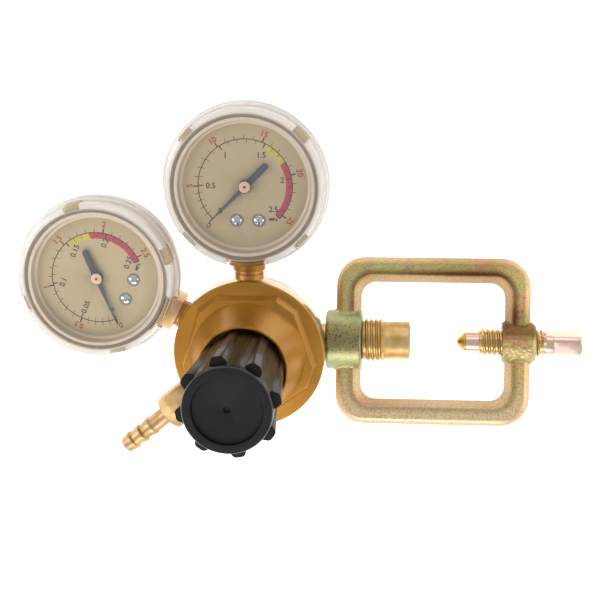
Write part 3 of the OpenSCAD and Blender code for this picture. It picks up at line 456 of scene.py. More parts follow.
def chromatedCasting():
    # malleable iron casting, zinc plated and yellow passivated: sandy metal in drifting tan, olive
    # and pink, mint on the near boss and black pits where the plating missed; painted shade darkens
    # it towards brown and painted light makes its lower bar paler
    look = castingLook
    material, tree, shader = newMaterial("yellow passivated zinc on cast iron", {"Metallic": 0.72})
    point = addNode(tree, "TexCoord").outputs["Object"]
    mark = {name: addNode(tree, "Attribute", attribute_name=name).outputs["Fac"]
            for name in yokeMarks}
    cloud = addNode(tree, "TexNoise", {
        "Vector": point, "Scale": perMm(look["cloudMm"]), "Detail": 4, "Distortion": 0.8})
    grain = addNode(tree, "TexNoise", {
        "Vector": point, "Scale": perMm(look["grainMm"]), "Detail": 3})
    colour = addNode(tree, "ValToRGB", {0: cloud.outputs["Fac"]}, stops=look["drift"])
    mint = addNode(tree, "ValToRGB", {0: cloud.outputs["Fac"]}, stops=look["mint"])
    layers = colour
    # the light mark lays painted light on the lower bar, the shade mark painted shade towards brown
    for name in ("green", "light", "flank", "rosy", "shade"):
        tone = mint if name == "green" else look[name]
        layers = addNode(tree, "Mix", {0: mark[name], 6: layers, 7: tone},
                         data_type="RGBA").outputs[2]
    fleck = addNode(tree, "ValToRGB", {0: grain.outputs["Fac"]}, stops=look["flecks"])
    layers = addNode(tree, "Mix", {0: 1.0, 6: layers, 7: fleck},
                     data_type="RGBA", blend_type="MULTIPLY").outputs[2]

    # pits, where the paint and a slow noise call for them
    spots = addNode(tree, "TexVoronoi", {"Vector": point, "Scale": perMm(look["pitMm"])})
    edgeFrom, edgeTo = look["pitEdge"]
    pits = addNode(tree, "MapRange", {
        0: spots.outputs["Distance"], 1: edgeFrom, 2: edgeTo, 3: 1.0, 4: 0.0})
    some = addNode(tree, "TexNoise", {
        "Vector": point, "Scale": perMm(look["pitPatchMm"]), "Detail": 1})
    here = addNode(tree, "Math", {0: some.outputs["Fac"], 1: mark["pitted"]}, operation="ADD")
    patchFrom, patchTo = look["pitPatch"]
    here = addNode(tree, "MapRange", {0: here, 1: patchFrom, 2: patchTo, 3: 0.0, 4: 1.0})
    pitted = addNode(tree, "Math", {0: pits, 1: here}, operation="MULTIPLY")
    layers = addNode(tree, "Mix", {
        0: pitted, 6: layers, 7: look["pit"]}, data_type="RGBA").outputs[2]
    rough = addNode(tree, "MapRange", {
        0: grain.outputs["Fac"], **noiseLimits, 3: look["rough"][0], 4: look["rough"][1]})

    # relief: the sand's grain, the pits and the far boss's lumps
    lumps = addNode(tree, "TexVoronoi", {"Vector": point, "Scale": perMm(look["lumpMm"])})
    lumpy = addNode(tree, "Math", {0: lumps.outputs["Distance"], 1: mark["lumpy"]},
                    operation="MULTIPLY")
    height = addNode(tree, "Math", {0: grain.outputs["Fac"], 1: pitted}, operation="SUBTRACT")
    height = addNode(tree, "Math", {
        0: lumpy, 1: look["lumpHeight"], 2: height}, operation="MULTIPLY_ADD")
    bump = addNode(tree, "Bump", {
        "Height": height, "Distance": look["depth"] * mm, "Strength": 0.8})
    feed(tree, shader, {"Base Color": layers, "Roughness": rough, "Normal": bump})
    return material


def passivatedSteel(name, first, second, roughness):
    # turned steel with bright zinc and an iridescent passivation: pink copper metal that drifts
    # to straw
    look = steelLook
    material, tree, shader = newMaterial(name, {"Metallic": 1.0})
    point = addNode(tree, "TexCoord").outputs["Object"]
    cloud = addNode(tree, "TexNoise", {
        "Vector": point, "Scale": perMm(look["driftMm"]), "Detail": 3, "Distortion": 0.5})
    colour = addNode(tree, "ValToRGB", {0: cloud.outputs["Fac"]},
                     stops=[(look["firstTo"], first), (look["secondFrom"], second)])
    rough = addNode(tree, "MapRange", {
        0: cloud.outputs["Fac"], **noiseLimits, 3: roughness, 4: roughness + look["duller"]})
    feed(tree, shader, {"Base Color": colour, "Roughness": rough})
    return material


def clearPolycarbonate():
    # injection moulded clear cover: a glass-clear lens, and a rougher wall and flange whose milky
    # white with a trace of pink is painted light gathered in the clear plastic, with a painted
    # darker line at the flange's edge; lamp light passes straight through
    material, tree, shader = newMaterial("clear moulded polycarbonate", {"IOR": 1.5})
    look = coverLook
    haze = addNode(tree, "Attribute", attribute_name="haze").outputs["Fac"]
    tint = addNode(tree, "ValToRGB", {0: haze}, stops=look["tints"])
    cloudy = addNode(tree, "MapRange", {
        0: haze, 2: look["flange"], 3: look["rough"][0], 4: look["rough"][1]})
    passing = addNode(tree, "MapRange", {
        0: haze, 2: look["flange"], 3: look["passing"][0], 4: look["passing"][1]})
    feed(tree, shader, {"Base Color": tint, "Roughness": cloudy, "Transmission Weight": passing})
    output = next(n for n in tree.nodes if n.type == "OUTPUT_MATERIAL")
    path = addNode(tree, "LightPath")
    unshaded = addNode(tree, "BsdfTransparent", {"Color": look["shadow"]})
    either = addNode(tree, "MixShader", {0: path.outputs["Is Shadow Ray"], 1: shader, 2: unshaded})
    feed(tree, output, {"Surface": either})
    return material


lacquer = goldLacquer()
nippleBrass = machinedBrass("turned brass", "#DDBE86", "#C9A566", 0.42, axis=(1, 0, 0))
fittingBrass = machinedBrass("milled brass", "#CFAF7C", "#B4915E", 0.4)
tailBrass = machinedBrass("dull turned brass", "#C6A67A", "#AD8B5C", 0.42)
socketBrass = machinedBrass("pale milled brass", "#E0C294", "#C6A474", 0.4)
# the polished rim's pale colour is a painted reflection of the white surroundings
rimBrassSheen = machinedBrass("polished brass rim with painted pale reflection", "#EAD7BC", "#E0C8A6", 0.2)
innerBrass = machinedBrass("sheet brass", "#DDB469", "#C79A4C", 0.3)
bronze = plainMaterial("sintered bronze", "#8C6A3F", 0.7, metallic=0.8, grainMm=0.35, depthMm=0.1)
copper = plainMaterial("annealed copper", "#B9834F", 0.45, metallic=1.0)
steel = plainMaterial("bright steel", "#B9BBBE", 0.3, metallic=1.0)
zincScrewMetal = plainMaterial("zinc plated screw steel", "#C9D2DA", 0.22, metallic=1.0)
springSteel = plainMaterial("oiled spring steel", "#6E7073", 0.32, metallic=1.0)
rubber = plainMaterial("moulded nitrile rubber", "#191919", 0.65)
fibre = plainMaterial("vulcanised fibre", "#5A3524", 0.6)
casting = chromatedCasting()
screwMetal = passivatedSteel("pink passivated steel", "#F0C9C6", "#EBCFB0", 0.2)
threadMetal = passivatedSteel("straw passivated steel", "#D9B277", "#C9B48A", 0.26)
phenolicFace = plainMaterial("matt black phenolic", "#151413", 0.6, grainMm=0.5, depthMm=0.02,
                             Specular_IOR_Level=0.28)
phenolicSide = plainMaterial("polished black phenolic", "#0D0806", 0.36, grainMm=2.5, depthMm=0.03,
                             Specular_IOR_Level=0.25, Coat_Weight=0.28, Coat_Roughness=0.12)
enamel = plainMaterial("beige stoved enamel", "#BBA985", 0.34, grainMm=1.2,
                       Coat_Weight=0.3, Coat_Roughness=0.15)
ringPlastic = plainMaterial("grey beige moulded ring", "#D6CBBB", 0.4)
# painted shade: the ring's steep inner wall is coloured darker
ringGrooveShade = plainMaterial("ring groove with painted shade", "#C0B29C", 0.6)
dialPaint = plainMaterial("matt cream dial paint", "#BEB191", 0.6, grainMm=0.6, depthMm=0.005)
# painted shade: a darker ring round each dial screw
screwShadePaint = plainMaterial("painted shade round the dial screws", "#8F8A7C", 0.6)
blackInk = plainMaterial("black screen ink", "#3B3A36", 0.6)
redInk = plainMaterial("red screen ink", "#A63C36", 0.6)
redBand = plainMaterial("crimson screen ink", "#B24A5A", 0.6)
yellowBand = plainMaterial("yellow screen ink", "#C6BC60", 0.6)
pointerPaint = plainMaterial("slate blue pointer paint", "#4C5662", 0.45)
hubMetal = plainMaterial("pink brass hub", "#E6C9B0", 0.4, metallic=0.3)
hubDot = plainMaterial("tarnished spindle end", "#8E5C3C", 0.4, metallic=0.4)
# grey-brown: painted shadow for the dark gap between the case's rim and the cover
shadowRingPaint = plainMaterial("grey brown painted shadow ring", "#857A6B", 0.5)
clear = clearPolycarbonate()
print("materials made")


# body, bonnet and rear cap: forged and turned, every edge broken

softWidths = {"body": 0.5, "bonnet": 0.75, "rear_cap": 0.4}
rim = {"from": 32.2, "r": 30.3, "rTo": 30.8}   # faces above and between these are the turned rim
bodyPieces = {"body": (lacquer, "lacquered_brass"), "bonnet": (lacquer, "lacquered_brass"),
              "rear_cap": (fittingBrass, "bare_brass")}
for node, (material, slot) in bodyPieces.items():
    shell = copyOf(node)
    soften(shell, softWidths[node])
    for face in shell.faces:
        middle = face.calc_center_median()
        # the turned rim takes the pale brass with its painted reflection
        inRim = middle.z > rim["from"] and rim["r"] < middle.xy.length < rim["rTo"]
        face.material_index = 1 if node == "body" and inRim else 0
    dress(shell, camel(node), [material, rimBrassSheen], "root", [node])
print("body and bonnet made")


# knob: matt where it faces front, polished on its sides

knobLook = {"edge": 0.75, "frontLean": 0.8}
shell = copyOf("knob")
soften(shell, knobLook["edge"], segments=3)
for face in shell.faces:
    face.material_index = 0 if face.normal.z > knobLook["frontLean"] else 1
dress(shell, "knob", [phenolicFace, phenolicSide], "knob", ["knob"])
print("knob made")


# coil springs, round wire

springs = {
    # the wire's diameter in mm, turns, and the joint that shortens it with its travel in mm
    "adjusting_spring": (2.6, 5, "button_slide", 7.5),
    "poppet_spring": (0.8, 5, "valve_lift", 0.8),
}


def coil(node, wireD, turns, joint, travel, steps=48, sides=16):
    # stands on its lower end; the joint and its travel are not used
    low, high = boxOf(node)
    meanR = (high.x - low.x - wireD) / 2
    climb = high.z - low.z - wireD
    start = Matrix.Translation((meanR, 0, low.z + wireD / 2)) @ Matrix.Rotation(math.pi / 2, 4, "X")
    bm = bmesh.new()
    bmesh.ops.create_circle(bm, segments=sides, radius=wireD / 2, cap_ends=False, matrix=start)
    bmesh.ops.spin(bm, geom=bm.verts[:] + bm.edges[:], cent=(0, 0, 0), axis=(0, 0, 1),
                   dvec=(0, 0, climb / (turns * steps)), angle=2 * math.pi * turns,
                   steps=turns * steps, use_merge=False)
    closeHoles(bm)
    bmesh.ops.recalc_face_normals(bm, faces=bm.faces)
    piece = dress(bm, camel(node), springSteel, "root", [node])
    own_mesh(piece)


for node, facts in springs.items():
    coil(node, *facts)


# plain inner pieces and fittings: node, finish, body, slot, broken edge in mm

plainPieces = [
    ("diaphragm", rubber, "root", "rubber", 0.15),
    ("diaphragm_plate", innerBrass, "valve", "bare_brass", 0.2),
    ("diaphragm_nut", steel, "valve", "plain_steel", 0.15),
    ("spring_button", steel, "button", "plain_steel", 0.2),
    ("adjusting_screw", steel, "knob", "plain_steel", 0.1),
    ("nozzle", innerBrass, "root", "bare_brass", 0.15),
    ("push_pin", steel, "valve", "plain_steel", 0.1),
    ("poppet", innerBrass, "valve", "bare_brass", 0.15),
    ("seat_disc", rubber, "valve", "rubber", 0.1),
    ("rear_seal", rubber, "root", "rubber", 0.2),
    ("inlet_filter", bronze, "root", "sintered_bronze", 0.2),
    ("inlet_washer", fibre, "root", "fibre", 0.2),
    ("yoke_point", innerBrass, "point", "bare_brass", 0.15),
    ("outlet_stem", fittingBrass, "root", "bare_brass", 0.1),
    ("union_nut", tailBrass, "nut", "bare_brass", 0.25),
    ("hose_tail", tailBrass, "tail", "bare_brass", 0.25),
]
for facts in plainPieces:
    softCopy(*facts)
print("inner pieces and outlet made")


# inlet nipple: shank, thread and collar, with its bore, filter seat and washer seat

inletH = 18.0       # mm, the inlet's axis above the rear cap's face
threadSink = 0.2    # mm, how deep a thread's foot goes into its core
toInlet = Matrix.Translation((0, 0, inletH)) @ Matrix.Rotation(math.pi / 2, 4, "Y")
nipple = {   # mm, lengths along the inlet from the knob's axis
    "shankR": 6.5, "threadR": 9.1, "cut": 1.15, "pitch": 2.0, "threadFrom": 45.4, "threadTo": 54.6,
    "collarR": 7.8, "boreR": 3.0, "filterR": 4.4, "washerR": 6.2, "washerSeat": 1.5, "edge": 0.35,
}
low, high = boxOf("inlet_nipple")
filterFrom = boxOf("inlet_filter")[0].x
washerFrom = high.x - nipple["washerSeat"]
rootR = nipple["threadR"] - nipple["cut"]
shank = turned(nipple, [
    ("boreR", low.x), ("shankR", low.x), ("shankR", "threadFrom"), (rootR, "threadFrom"),
    (rootR, "threadTo"), ("collarR", "threadTo"), ("collarR", high.x), ("washerR", high.x),
    ("washerR", washerFrom), ("filterR", washerFrom), ("filterR", filterFrom),
    ("boreR", filterFrom)], nipple["edge"])
ridge = helix(rootR - threadSink, nipple["threadR"], nipple["pitch"],
              nipple["threadTo"] - nipple["threadFrom"])
ridgePlace = toInlet @ Matrix.Translation((0, 0, nipple["threadFrom"]))
whole = join((shank, toInlet), (ridge, ridgePlace))
dress(whole, "inletNipple", nippleBrass, "root", ["inlet_nipple"])


# yoke screw: pilot, thread and a head that goes from round to square

yokeTurn = math.radians(-15.8)   # how the yoke hangs round the inlet at rest
toYoke = (Matrix.Translation((0, 0, inletH)) @ Matrix.Rotation(yokeTurn, 4, "X")
          @ Matrix.Rotation(math.pi / 2, 4, "Y"))
screw = {   # mm and degrees, lengths from the knob's axis, the head's from its own start
    "pilotR": 4.3, "pilotTo": 93.6, "dish": 0.2, "threadR": 5.7, "cut": 0.9, "pitch": 2.0,
    "threadTo": 119.9, "headR": 5.4, "neck": 1.2, "headTurn": 25, "square": 9.2, "squareFrom": 4.0,
    "overlap": 0.5, "edge": 0.3, "headEdge": 0.5, "before": 0.4, "past": 0.2,
}
low, high = boxOf("yoke_screw")
rootR = screw["threadR"] - screw["cut"]
roundTo = screw["threadTo"] + screw["squareFrom"] + screw["overlap"]
core = turned(screw, [
    (0, low.x + screw["dish"]), ("pilotR", low.x), ("pilotR", "pilotTo"), (rootR, "pilotTo"),
    (rootR, "threadTo"), ("headR", screw["threadTo"] + screw["neck"]), ("headR", roundTo),
    (0, roundTo)], screw["edge"])
ridge = helix(rootR - threadSink, screw["threadR"], screw["pitch"],
              screw["threadTo"] - screw["pilotTo"])
for face in ridge.faces:
    face.material_index = 1
finishFrom, finishTo = screw["pilotTo"] - screw["before"], screw["threadTo"] + screw["past"]
for face in core.faces:
    face.material_index = 1 if finishFrom < face.calc_center_median().z < finishTo else 0
headTo = high.x - screw["threadTo"]
head = turned(screw, [
    (0, "squareFrom"), ("headR", "squareFrom"), ("headR", headTo - screw["headEdge"] * 2),
    (screw["headR"] - screw["headEdge"] * 2, headTo), (0, headTo)])
for k in range(4):
    flat = Matrix.Rotation(k * math.pi / 2, 3, "Z") @ Vector((1, 0, 0))
    sliceOff(head, flat * screw["square"] / 2, flat)
    closeHoles(head)
soften(head, screw["edge"], segments=3)
headStart = toYoke @ Matrix.Translation((0, 0, screw["threadTo"]))
headPlace = headStart @ Matrix.Rotation(math.radians(screw["headTurn"]), 4, "Z")
ridgePlace = toYoke @ Matrix.Translation((0, 0, screw["pilotTo"]))
whole = join((core, toYoke), (ridge, ridgePlace), (head, headPlace))
dress(whole, "yokeScrew", [screwMetal, threadMetal], "screw", ["yoke_screw"])
print("nipple and yoke screw made")


# yoke: the frame and bosses flow into each other as in a casting

yoke = {
    "voxel": 0.5, "smoothing": 3, "wave": 0.12, "waveMm": 7.0, "waveFrom": 1.5,
    "nearBore": 6.6, "farBore": 5.8, "boresPart": 70.0, "boreReach": 0.6,
    "nearBossR": 12.4, "nearBossTo": 45.1, "farBossR": 8.4, "farBossFrom": 103.0,
    "middle": 74.4, "halfLong": 40.1, "halfWide": 34.7, "frontW": 7.6, "openingCorner": 7.5,
}
cast = through(copyOf("yoke"), ("REMESH", {"mode": "VOXEL", "voxel_size": yoke["voxel"]}),
               ("SMOOTH", {"factor": 0.5, "iterations": yoke["smoothing"]}))
fromYoke = toYoke.inverted()
cast.normal_update()
normals = [v.normal.copy() for v in cast.verts]
for v, normal in zip(cast.verts, normals):
    here = fromYoke @ v.co
    r = math.hypot(here.x, here.y)
    bore = yoke["nearBore"] if here.z < yoke["boresPart"] else yoke["farBore"]
    if r < bore + yoke["boreReach"]:
        here.x *= bore / r   # the bores stay round and to size
        here.y *= bore / r
        v.co = toYoke @ here
    elif r > bore + yoke["waveFrom"]:
        v.co -= normal * yoke["wave"] * rise(noise.noise(v.co / yoke["waveMm"]), -1, 1)
piece = dress(cast, "yoke", casting, "yoke", ["yoke"], smooth=60)

# where its finish and its painted light and shade change, each as a start and an end: mm up the
# yoke, along it or out from the opening's edge, or how much a face looks to the front
bands = {
    "front": (0.3, 0.8), "flank": (0.45, 0.75), "rolled": (0.15, 0.5),
    "upper": (-5, 28), "lower": (-30, -12), "left": (-18, 14), "topRight": (-18, 12),
    "right": (24, 34), "stripe": (1.2, 3.6), "rosy": (5.0, 6.8), "edge": (6.6, 7.6),
    "cornerFrom": (4, 8), "cornerTo": (11, 18),
    "nearShade": (3.5, 8), "farShade": (0.5, 3.5), "farLumps": (0.5, 2), "farMint": (-4, 1),
}
# how strong each change is, 0 to 1, places in mm, and how far past a boss its paint goes, along
# and out
paint = {
    "flank": 0.8, "light": 0.8, "pits": 0.45, "mintRound": 0.25, "mintTop": 0.6,
    "rosy": 0.45, "rosyTopLoss": 0.7, "topShade": 0.35, "edgeShade": 0.4, "cornerShade": 0.45,
    "inner": 0.4, "innerTop": 0.4, "innerRight": 0.1, "innerMiddle": 0.9, "innerReach": 2.2,
    "stripeMiddle": 3.6, "mintReach": 34.0, "nearPast": (0.5, 0.6), "farPast": (0.5, 0.8),
    "nearShade": 0.5, "crown": 1.0, "crownHalf": 5.5, "crownPits": 0.8, "nearPits": 0.4,
    "farShade": 0.75, "farBase": 0.1, "farPits": 0.6, "farMint": 0.55,
}
for name in yokeMarks:
    piece.data.attributes.new(name, "FLOAT", "POINT")
marks = {name: piece.data.attributes[name].data for name in yokeMarks}
corner = yoke["openingCorner"]
nearTo = yoke["nearBossTo"] + paint["nearPast"][0]
nearR = yoke["nearBossR"] + paint["nearPast"][1]
farFrom = yoke["farBossFrom"] - paint["farPast"][0]
farR = yoke["farBossR"] + paint["farPast"][1]
for v in piece.data.vertices:
    here = fromYoke @ (v.co / mm)
    r = math.hypot(here.x, here.y)
    normal = fromYoke.to_3x3() @ v.normal
    along = here.z - yoke["middle"]
    if here.z < nearTo and r < nearR:
        offCrown = abs(here.y - paint["crown"])
        onCrown = offCrown < paint["crownHalf"]
        # painted reflection: a dark band across the near boss's crown
        value = {"green": 1.0, "shade": paint["nearShade"] * fall(offCrown, *bands["nearShade"]),
                 "pitted": paint["crownPits"] if onCrown else paint["nearPits"]}
    elif here.z > farFrom and r < farR:
        # painted shade: the far boss is darker towards its top
        value = {"shade": paint["farBase"] + paint["farShade"] * rise(here.y, *bands["farShade"]),
                 "pitted": paint["farPits"], "lumpy": fall(here.y, *bands["farLumps"]),
                 "green": paint["farMint"] * fall(here.y, *bands["farMint"])}
    else:
        # how far out from the edge of the opening, on the front
        outX = abs(along) - (yoke["halfLong"] - yoke["frontW"] - corner)
        outY = abs(here.y) - (yoke["halfWide"] - yoke["frontW"] - corner)
        out = math.hypot(max(outX, 0), max(outY, 0)) + min(max(outX, outY), 0) - corner
        front = rise(-normal.x, *bands["front"])
        # painted reflection: a dark band on the front along the opening's edge
        inner = front * max(0.0, 1 - abs(out - paint["innerMiddle"]) / paint["innerReach"])
        upper, right = rise(here.y, *bands["upper"]), rise(along, *bands["right"])
        fromBoss = Vector((here.y, here.z - yoke["nearBossTo"])).length
        around = max(0.0, 1 - fromBoss / paint["mintReach"])
        stripe = fall(abs(out - paint["stripeMiddle"]), *bands["stripe"])
        leftTop = upper * fall(along, *bands["left"]) * stripe
        # painted shade: the top bar is darker towards its right
        topShade = paint["topShade"] * upper * rise(along, *bands["topRight"]) * (1 - right)
        innerShade = inner * (
            paint["inner"] + paint["innerTop"] * upper + paint["innerRight"] * right)
        # painted shade: darker where the outer edge rolls away from the front
        rolled = fall(abs(normal.x), *bands["rolled"])
        edgeShade = paint["edgeShade"] * rise(out, *bands["edge"]) * rolled
        # painted reflection: a dark patch part way up the right bar
        cornerShade = (paint["cornerShade"] * right * rise(here.y, *bands["cornerFrom"])
                       * fall(here.y, *bands["cornerTo"]))
        value = {
            "flank": paint["flank"] * fall(abs(normal.x), *bands["flank"]),
            "green": max(around * paint["mintRound"], leftTop * paint["mintTop"]),
            # painted light: the lower bar is painted paler
            "light": paint["light"] * fall(here.y, *bands["lower"]),
            "rosy": (paint["rosy"] * rise(out, *bands["rosy"])
                     * (1 - paint["rosyTopLoss"] * upper * (1 - right))),
            "shade": topShade + innerShade + edgeShade + cornerShade,
            "pitted": paint["pits"],
        }
    for name, amount in value.items():
        marks[name][v.index].value = amount
print("yoke made")


# gauges

portH = 33.0   # the height of the gauge ports
gauges = {
    # the port's direction in degrees, the gauge's axis from the knob's in mm, and the dial's turn
    "high": {"port": 90.0, "reach": 69.6, "dialTurn": 0.0, "socket": lacquer,
             "inner": "0 0.5 1 1.5 2 2.5", "outer": "0 5 10 15 20 25"},
    "low": {"port": 152.4, "reach": 68.4, "dialTurn": 4.0, "socket": socketBrass,
            "inner": "0 0.05 0.1 0.15 0.2 0.25", "outer": "0 0.5 1 1.5 2 2.5"},
}
cover = {
    "r": 33.0, "side": 31.4, "inside": 30.4, "lip": 1.2, "ledge": 1.0, "edge": 0.3, "steps": 216,
    "skirtFoot": 1.2, "skirtTop": 6.2, "lensFoot": 11.4, "lensTop": 13.2,
    "hazeGlowFrom": 28.7, "hazeGlowTo": 29.3, "rimFrom": 32.45, "clearGap": 8.0,
    "tabTurns": (43, 137, 223, 317), "gapTurn": 270,
    # a cut's reach from the axis, its width and its heights
    "slot": ((29.3, 31.75), 6.9, (2.6, 13.6)), "gap": ((29.9, 34.0), 15.0, (-1.0, 6.3)),
}
retainer = {
    "r": 27.6, "inside": 24.7, "slopeR": 25.7, "slopeTop": 8.1, "stepR": 26.3, "top": 11.3,
    "lip": 0.1, "edge": 0.2, "steps": 128, "grooveInset": 0.1, "grooveFrom": 0.2,
}
# a thin ring shaped as a seal, whose grey-brown is a painted shadow for the gap under the lens
shadowRing = {"r": 28.75, "inside": 27.65, "foot": 10.4, "top": 11.35, "edge": 0.2, "steps": 128}
hub = {"capR": 2.25, "capT": 0.12, "dotR": 0.58, "dotT": 0.14, "top": 9.9, "steps": 48}
dialPrint = {
    "h": 7.5, "ink": 0.03, "layer": 0.01,           # mm, the layer is one ink's height over another
    "arcR": 18.6, "arcLine": 0.34, "arcStep": 3,    # degrees from one facet to the next
    "minor": 1.6, "minorLine": 0.2, "major": 1.95, "majorLine": 0.46,
    "band": 2.3, "yellowFrom": 0.612, "redFrom": 0.722,
    "marks": (225.0, 179.5, 122.0, 64.2, 9.6, -44.0),   # degrees of the six main marks
    "small": 5, "outerScale": 0.98,                     # small steps from one main mark to the next
    "numberH": 2.3, "unitH": 1.35, "fontPerH": 1.4, "stroke": 0.05, "unitSpot": (10.9, -13.3),
    "innerSpots": ((225, 14.2), (180, 13.6), (122, 14.3), (62, 13.9), (9, 14.8), (-40, 14.4)),
    "outerSpots": ((227, 21.6), (180, 21.8), (125, 21.6), (69, 21.8), (14, 22.1), (-38.6, 22.4)),
    "screwSpots": ((-3.6, -13.7), (5.2, -13.7)), "haloR": 2.75, "haloSides": 40,
}


def markAngle(fraction):
    # the printed scale isn't quite even: its angle runs between the main marks
    angles = dialPrint["marks"]
    spans = len(angles) - 1
    k = min(spans - 1, int(fraction * spans + 1e-6))
    return angles[k] + (angles[k + 1] - angles[k]) * (fraction * spans - k)


def arcBand(bm, inner, outer, start, end, low, high):
    # a flat band of ink between two angles, in degrees, as a closed solid
    steps = max(1, math.ceil(abs(end - start) / dialPrint["arcStep"]))
    a = math.radians(start)
    corners = [bm.verts.new((r * math.cos(a), r * math.sin(a), z))
               for r, z in ((inner, low), (outer, low), (outer, high), (inner, high))]
    bmesh.ops.spin(bm, geom=[bm.faces.new(corners)], cent=(0, 0, 0), axis=(0, 0, 1),
                   angle=math.radians(end - start), steps=steps, use_merge=False)


def inkText(text, height, place):
    # letters as a thin solid, made a mesh before their place is applied
    curve = bpy.data.curves.new("number", "FONT")
    curve.body = text
    curve.align_x = "CENTER"
    curve.align_y = "CENTER"
    curve.size = height * dialPrint["fontPerH"]
    curve.extrude = dialPrint["ink"] / 2
    curve.offset = dialPrint["stroke"]
    curve.resolution_u = 3
    flatText = newObject("number", curve)
    bpy.context.view_layer.update()
    depsgraph = bpy.context.evaluated_depsgraph_get()
    mesh = bpy.data.meshes.new_from_object(flatText.evaluated_get(depsgraph))
    bm = bmesh.new()
    bm.from_mesh(mesh)
    bpy.data.objects.remove(flatText)
    bpy.data.meshes.remove(mesh)
    bmesh.ops.remove_doubles(bm, verts=bm.verts, dist=clean["weld"])
    return bm, place


def cutCover(lid):
    # takes out the slots for the case's tabs and the gap for the socket's block
    cuts = bmesh.new()
    places = [(turn, cover["slot"]) for turn in cover["tabTurns"]]
    places.append((cover["gapTurn"], cover["gap"]))
    for turn, (reach, width, height) in places:
        size = Vector((reach[1] - reach[0], width, height[1] - height[0]))
        middle = Vector((sum(reach) / 2, 0, sum(height) / 2))
        bmesh.ops.create_cube(cuts, size=1, matrix=Matrix.Rotation(math.radians(turn), 4, "Z")
                              @ Matrix.Translation(middle) @ Matrix.Diagonal(size).to_4x4())
    cutter = newObject("cuts", meshFrom("cuts", cuts))
    lid = through(lid, ("BOOLEAN", {
        "object": cutter, "operation": "DIFFERENCE", "solver": "EXACT"}))
    bpy.data.objects.remove(cutter)
    return lid


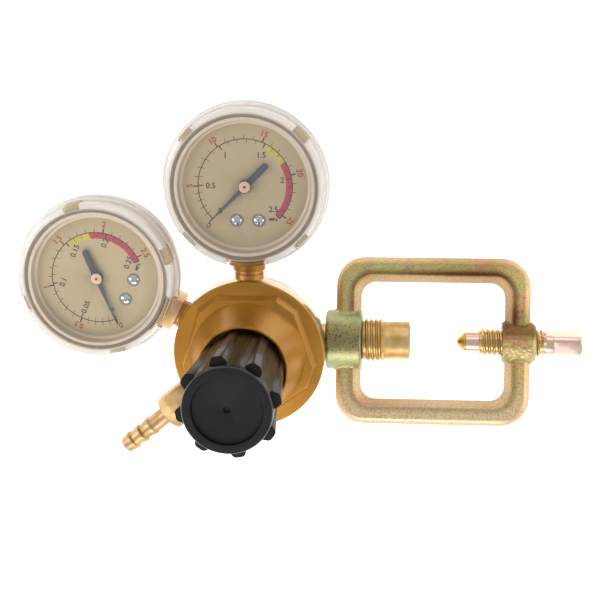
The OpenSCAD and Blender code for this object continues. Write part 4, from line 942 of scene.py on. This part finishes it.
for gauge, facts in gauges.items():
    portTurn = Matrix.Rotation(math.radians(facts["port"] - 90), 4, "Z")
    toCase = portTurn @ Matrix.Translation((0, facts["reach"], portH))
    toDial = toCase @ Matrix.Rotation(math.radians(facts["dialTurn"]), 4, "Z")
    hand = gauge + "_hand"
    gaugePieces = [
        ("case", enamel, "root", "beige_paint", 0.3),
        ("dial", dialPaint, "root", "dial_print", 0.06),
        ("dial_screws", zincScrewMetal, "root", "plain_steel", 0.08),
        ("socket", facts["socket"], "root", "bare_brass", 0.3),
        ("washer", copper, "root", "copper", 0.15),
        ("tube", innerBrass, "root", "bare_brass", 0.15),
        ("link", steel, gauge + "_rod", "plain_steel", 0.06),
        ("movement", innerBrass, "root", "bare_brass", 0.1),
        ("sector", innerBrass, gauge + "_quadrant", "bare_brass", 0.06),
        ("spindle", steel, hand, "plain_steel", 0.06),
        ("pointer", pointerPaint, hand, "grey_paint", 0.08),
    ]
    for part, *rest in gaugePieces:
        softCopy(gauge + "_" + part, *rest)

    # cover: a lens, a side wall and a flange
    ledge = cover["skirtTop"] - cover["ledge"]
    skirtInside = cover["r"] - cover["lip"]
    lid = cutCover(turned(cover, [
        (0, "lensFoot"), ("hazeGlowFrom", "lensFoot"), ("inside", "lensFoot"), ("inside", ledge),
        (skirtInside, ledge), (skirtInside, "skirtFoot"), ("r", "skirtFoot"), ("r", "skirtTop"),
        ("rimFrom", "skirtTop"), ("side", "skirtTop"), ("side", "lensTop"), ("hazeGlowTo", "lensTop"),
        ("hazeGlowFrom", "lensTop"), (0, "lensTop")], cover["edge"], steps=cover["steps"]))
    # each point's share of rough haze and painted milky light
    hazeAndGlowShares = []
    for v in lid.verts:
        r = math.hypot(v.co.x, v.co.y)
        offGap = abs(math.degrees(math.atan2(v.co.y, v.co.x)) % 360 - cover["gapTurn"])
        milk = rise(r, cover["hazeGlowFrom"], cover["hazeGlowTo"])
        if offGap < math.degrees(cover["clearGap"] / max(r, 1)) and r < cover["rimFrom"]:
            milk = 0   # the wall is clear over the socket's block
        hazeAndGlowShares.append((milk + rise(r, cover["rimFrom"], cover["r"] - cover["edge"])) / 2)
    piece = dress(lid, gauge + "Cover", clear, "root", [gauge + "_cover"],
                  place=toCase)
    haze = piece.data.attributes.new("haze", "FLOAT", "POINT")
    for mark, amount in zip(haze.data, hazeAndGlowShares):
        mark.value = amount

    # retaining ring, a painted shadow ring under the lens's edge, and the hub's cap
    base = dialPrint["h"]
    ring = turned(retainer, [
        ("inside", base), ("r", base), ("r", "top"), ("stepR", "top"), ("slopeR", "slopeTop"),
        ("inside", base + retainer["lip"])], retainer["edge"], steps=retainer["steps"])
    grooveFrom = retainer["slopeR"] + retainer["grooveInset"]
    grooveTo = retainer["stepR"] - retainer["grooveInset"]
    # the ring's steep inner wall takes the darker colour, painted shade
    for face in ring.faces:
        middle = face.calc_center_median()
        above = middle.z > base + retainer["grooveFrom"]
        face.material_index = 1 if above and grooveFrom < middle.xy.length < grooveTo else 0
    dress(ring, gauge + "Ring", [ringPlastic, ringGrooveShade], "root", [gauge + "_ring"],
          place=toCase)
    # a thin grey-brown ring shaped as a seal: painted shadow for the gap between case rim and cover
    shadowRingShape = turned(shadowRing, [("inside", "foot"), ("r", "foot"), ("r", "top"), ("inside", "top")],
                  shadowRing["edge"], steps=shadowRing["steps"])
    dress(shadowRingShape, gauge + "Gasket", shadowRingPaint, "root", (), place=toCase)
    discs = {"HubCap": ("capR", hub["top"], hub["capT"], hubMetal),
             "HubDot": ("dotR", hub["top"] + hub["capT"], hub["dotT"], hubDot)}
    for name, (radius, foot, thick, metal) in discs.items():
        disc = turned(hub, [(0, foot), (radius, foot), (radius, foot + thick), (0, foot + thick)],
                      thick / 3, steps=hub["steps"])
        dress(disc, gauge + name, metal, hand, (), place=toDial)

    # dial print: scale, bands and numbers, each ink its own mesh
    top = base + dialPrint["ink"]
    inkMiddle = base + dialPrint["ink"] / 2
    layer = dialPrint["layer"]
    black, red, crimson, yellow = bmesh.new(), bmesh.new(), bmesh.new(), bmesh.new()
    arcR = dialPrint["arcR"]
    arcInner, arcOuter = arcR - dialPrint["arcLine"] / 2, arcR + dialPrint["arcLine"] / 2
    arcBand(black, arcInner, arcOuter, markAngle(0), markAngle(1), base, top)
    steps = dialPrint["small"] * (len(dialPrint["marks"]) - 1)
    for side, scale in ((-1, 1.0), (1, dialPrint["outerScale"])):
        for k in range(steps + 1):
            kind = "major" if k % dialPrint["small"] == 0 else "minor"
            angle = markAngle(scale * k / steps)
            half = math.degrees(dialPrint[kind + "Line"] / 2 / arcR)
            near, far = sorted((arcR, arcR + side * dialPrint[kind]))
            arcBand(black, near, far, angle - half, angle + half, base + layer, top + layer)
    yellowFrom, redFrom = markAngle(dialPrint["yellowFrom"]), markAngle(dialPrint["redFrom"])
    bandFrom = arcInner - dialPrint["band"]
    arcBand(yellow, bandFrom, arcInner, yellowFrom, redFrom, base, top - layer)
    arcBand(crimson, bandFrom, arcInner, redFrom, markAngle(1), base, top - layer)
    blackText, redText = [(black, Matrix.Identity(4))], [(red, Matrix.Identity(4))]
    for row, words in (("inner", blackText), ("outer", redText)):
        for text, (angle, radius) in zip(facts[row].split(), dialPrint[row + "Spots"]):
            a = math.radians(angle)
            spot = Matrix.Translation((radius * math.cos(a), radius * math.sin(a), inkMiddle))
            if row == "outer":   # these stand upright to the scale
                spot = spot @ Matrix.Rotation(a - math.pi / 2, 4, "Z")
            words.append(inkText(text, dialPrint["numberH"], spot))
    spot = Matrix.Translation((*dialPrint["unitSpot"], inkMiddle))
    blackText.append(inkText("MPa", dialPrint["unitH"], spot))
    # a darker ring painted round each dial screw, painted shade
    screwShades = bmesh.new()
    for x, y in dialPrint["screwSpots"]:
        bmesh.ops.create_cone(screwShades, cap_ends=True, segments=dialPrint["haloSides"],
                              radius1=dialPrint["haloR"], radius2=dialPrint["haloR"],
                              depth=dialPrint["ink"], matrix=Matrix.Translation((x, y, inkMiddle)))
    inks = {"BlackPrint": (join(*blackText), blackInk), "RedPrint": (join(*redText), redInk),
            "RedBand": (crimson, redBand), "YellowBand": (yellow, yellowBand),
            "ScrewShades": (screwShades, screwShadePaint)}
    for name, (bm, ink) in inks.items():
        bmesh.ops.recalc_face_normals(bm, faces=bm.faces)
        dress(bm, gauge + name, ink, "root", (), place=toDial)
    print(gauge, "gauge made")
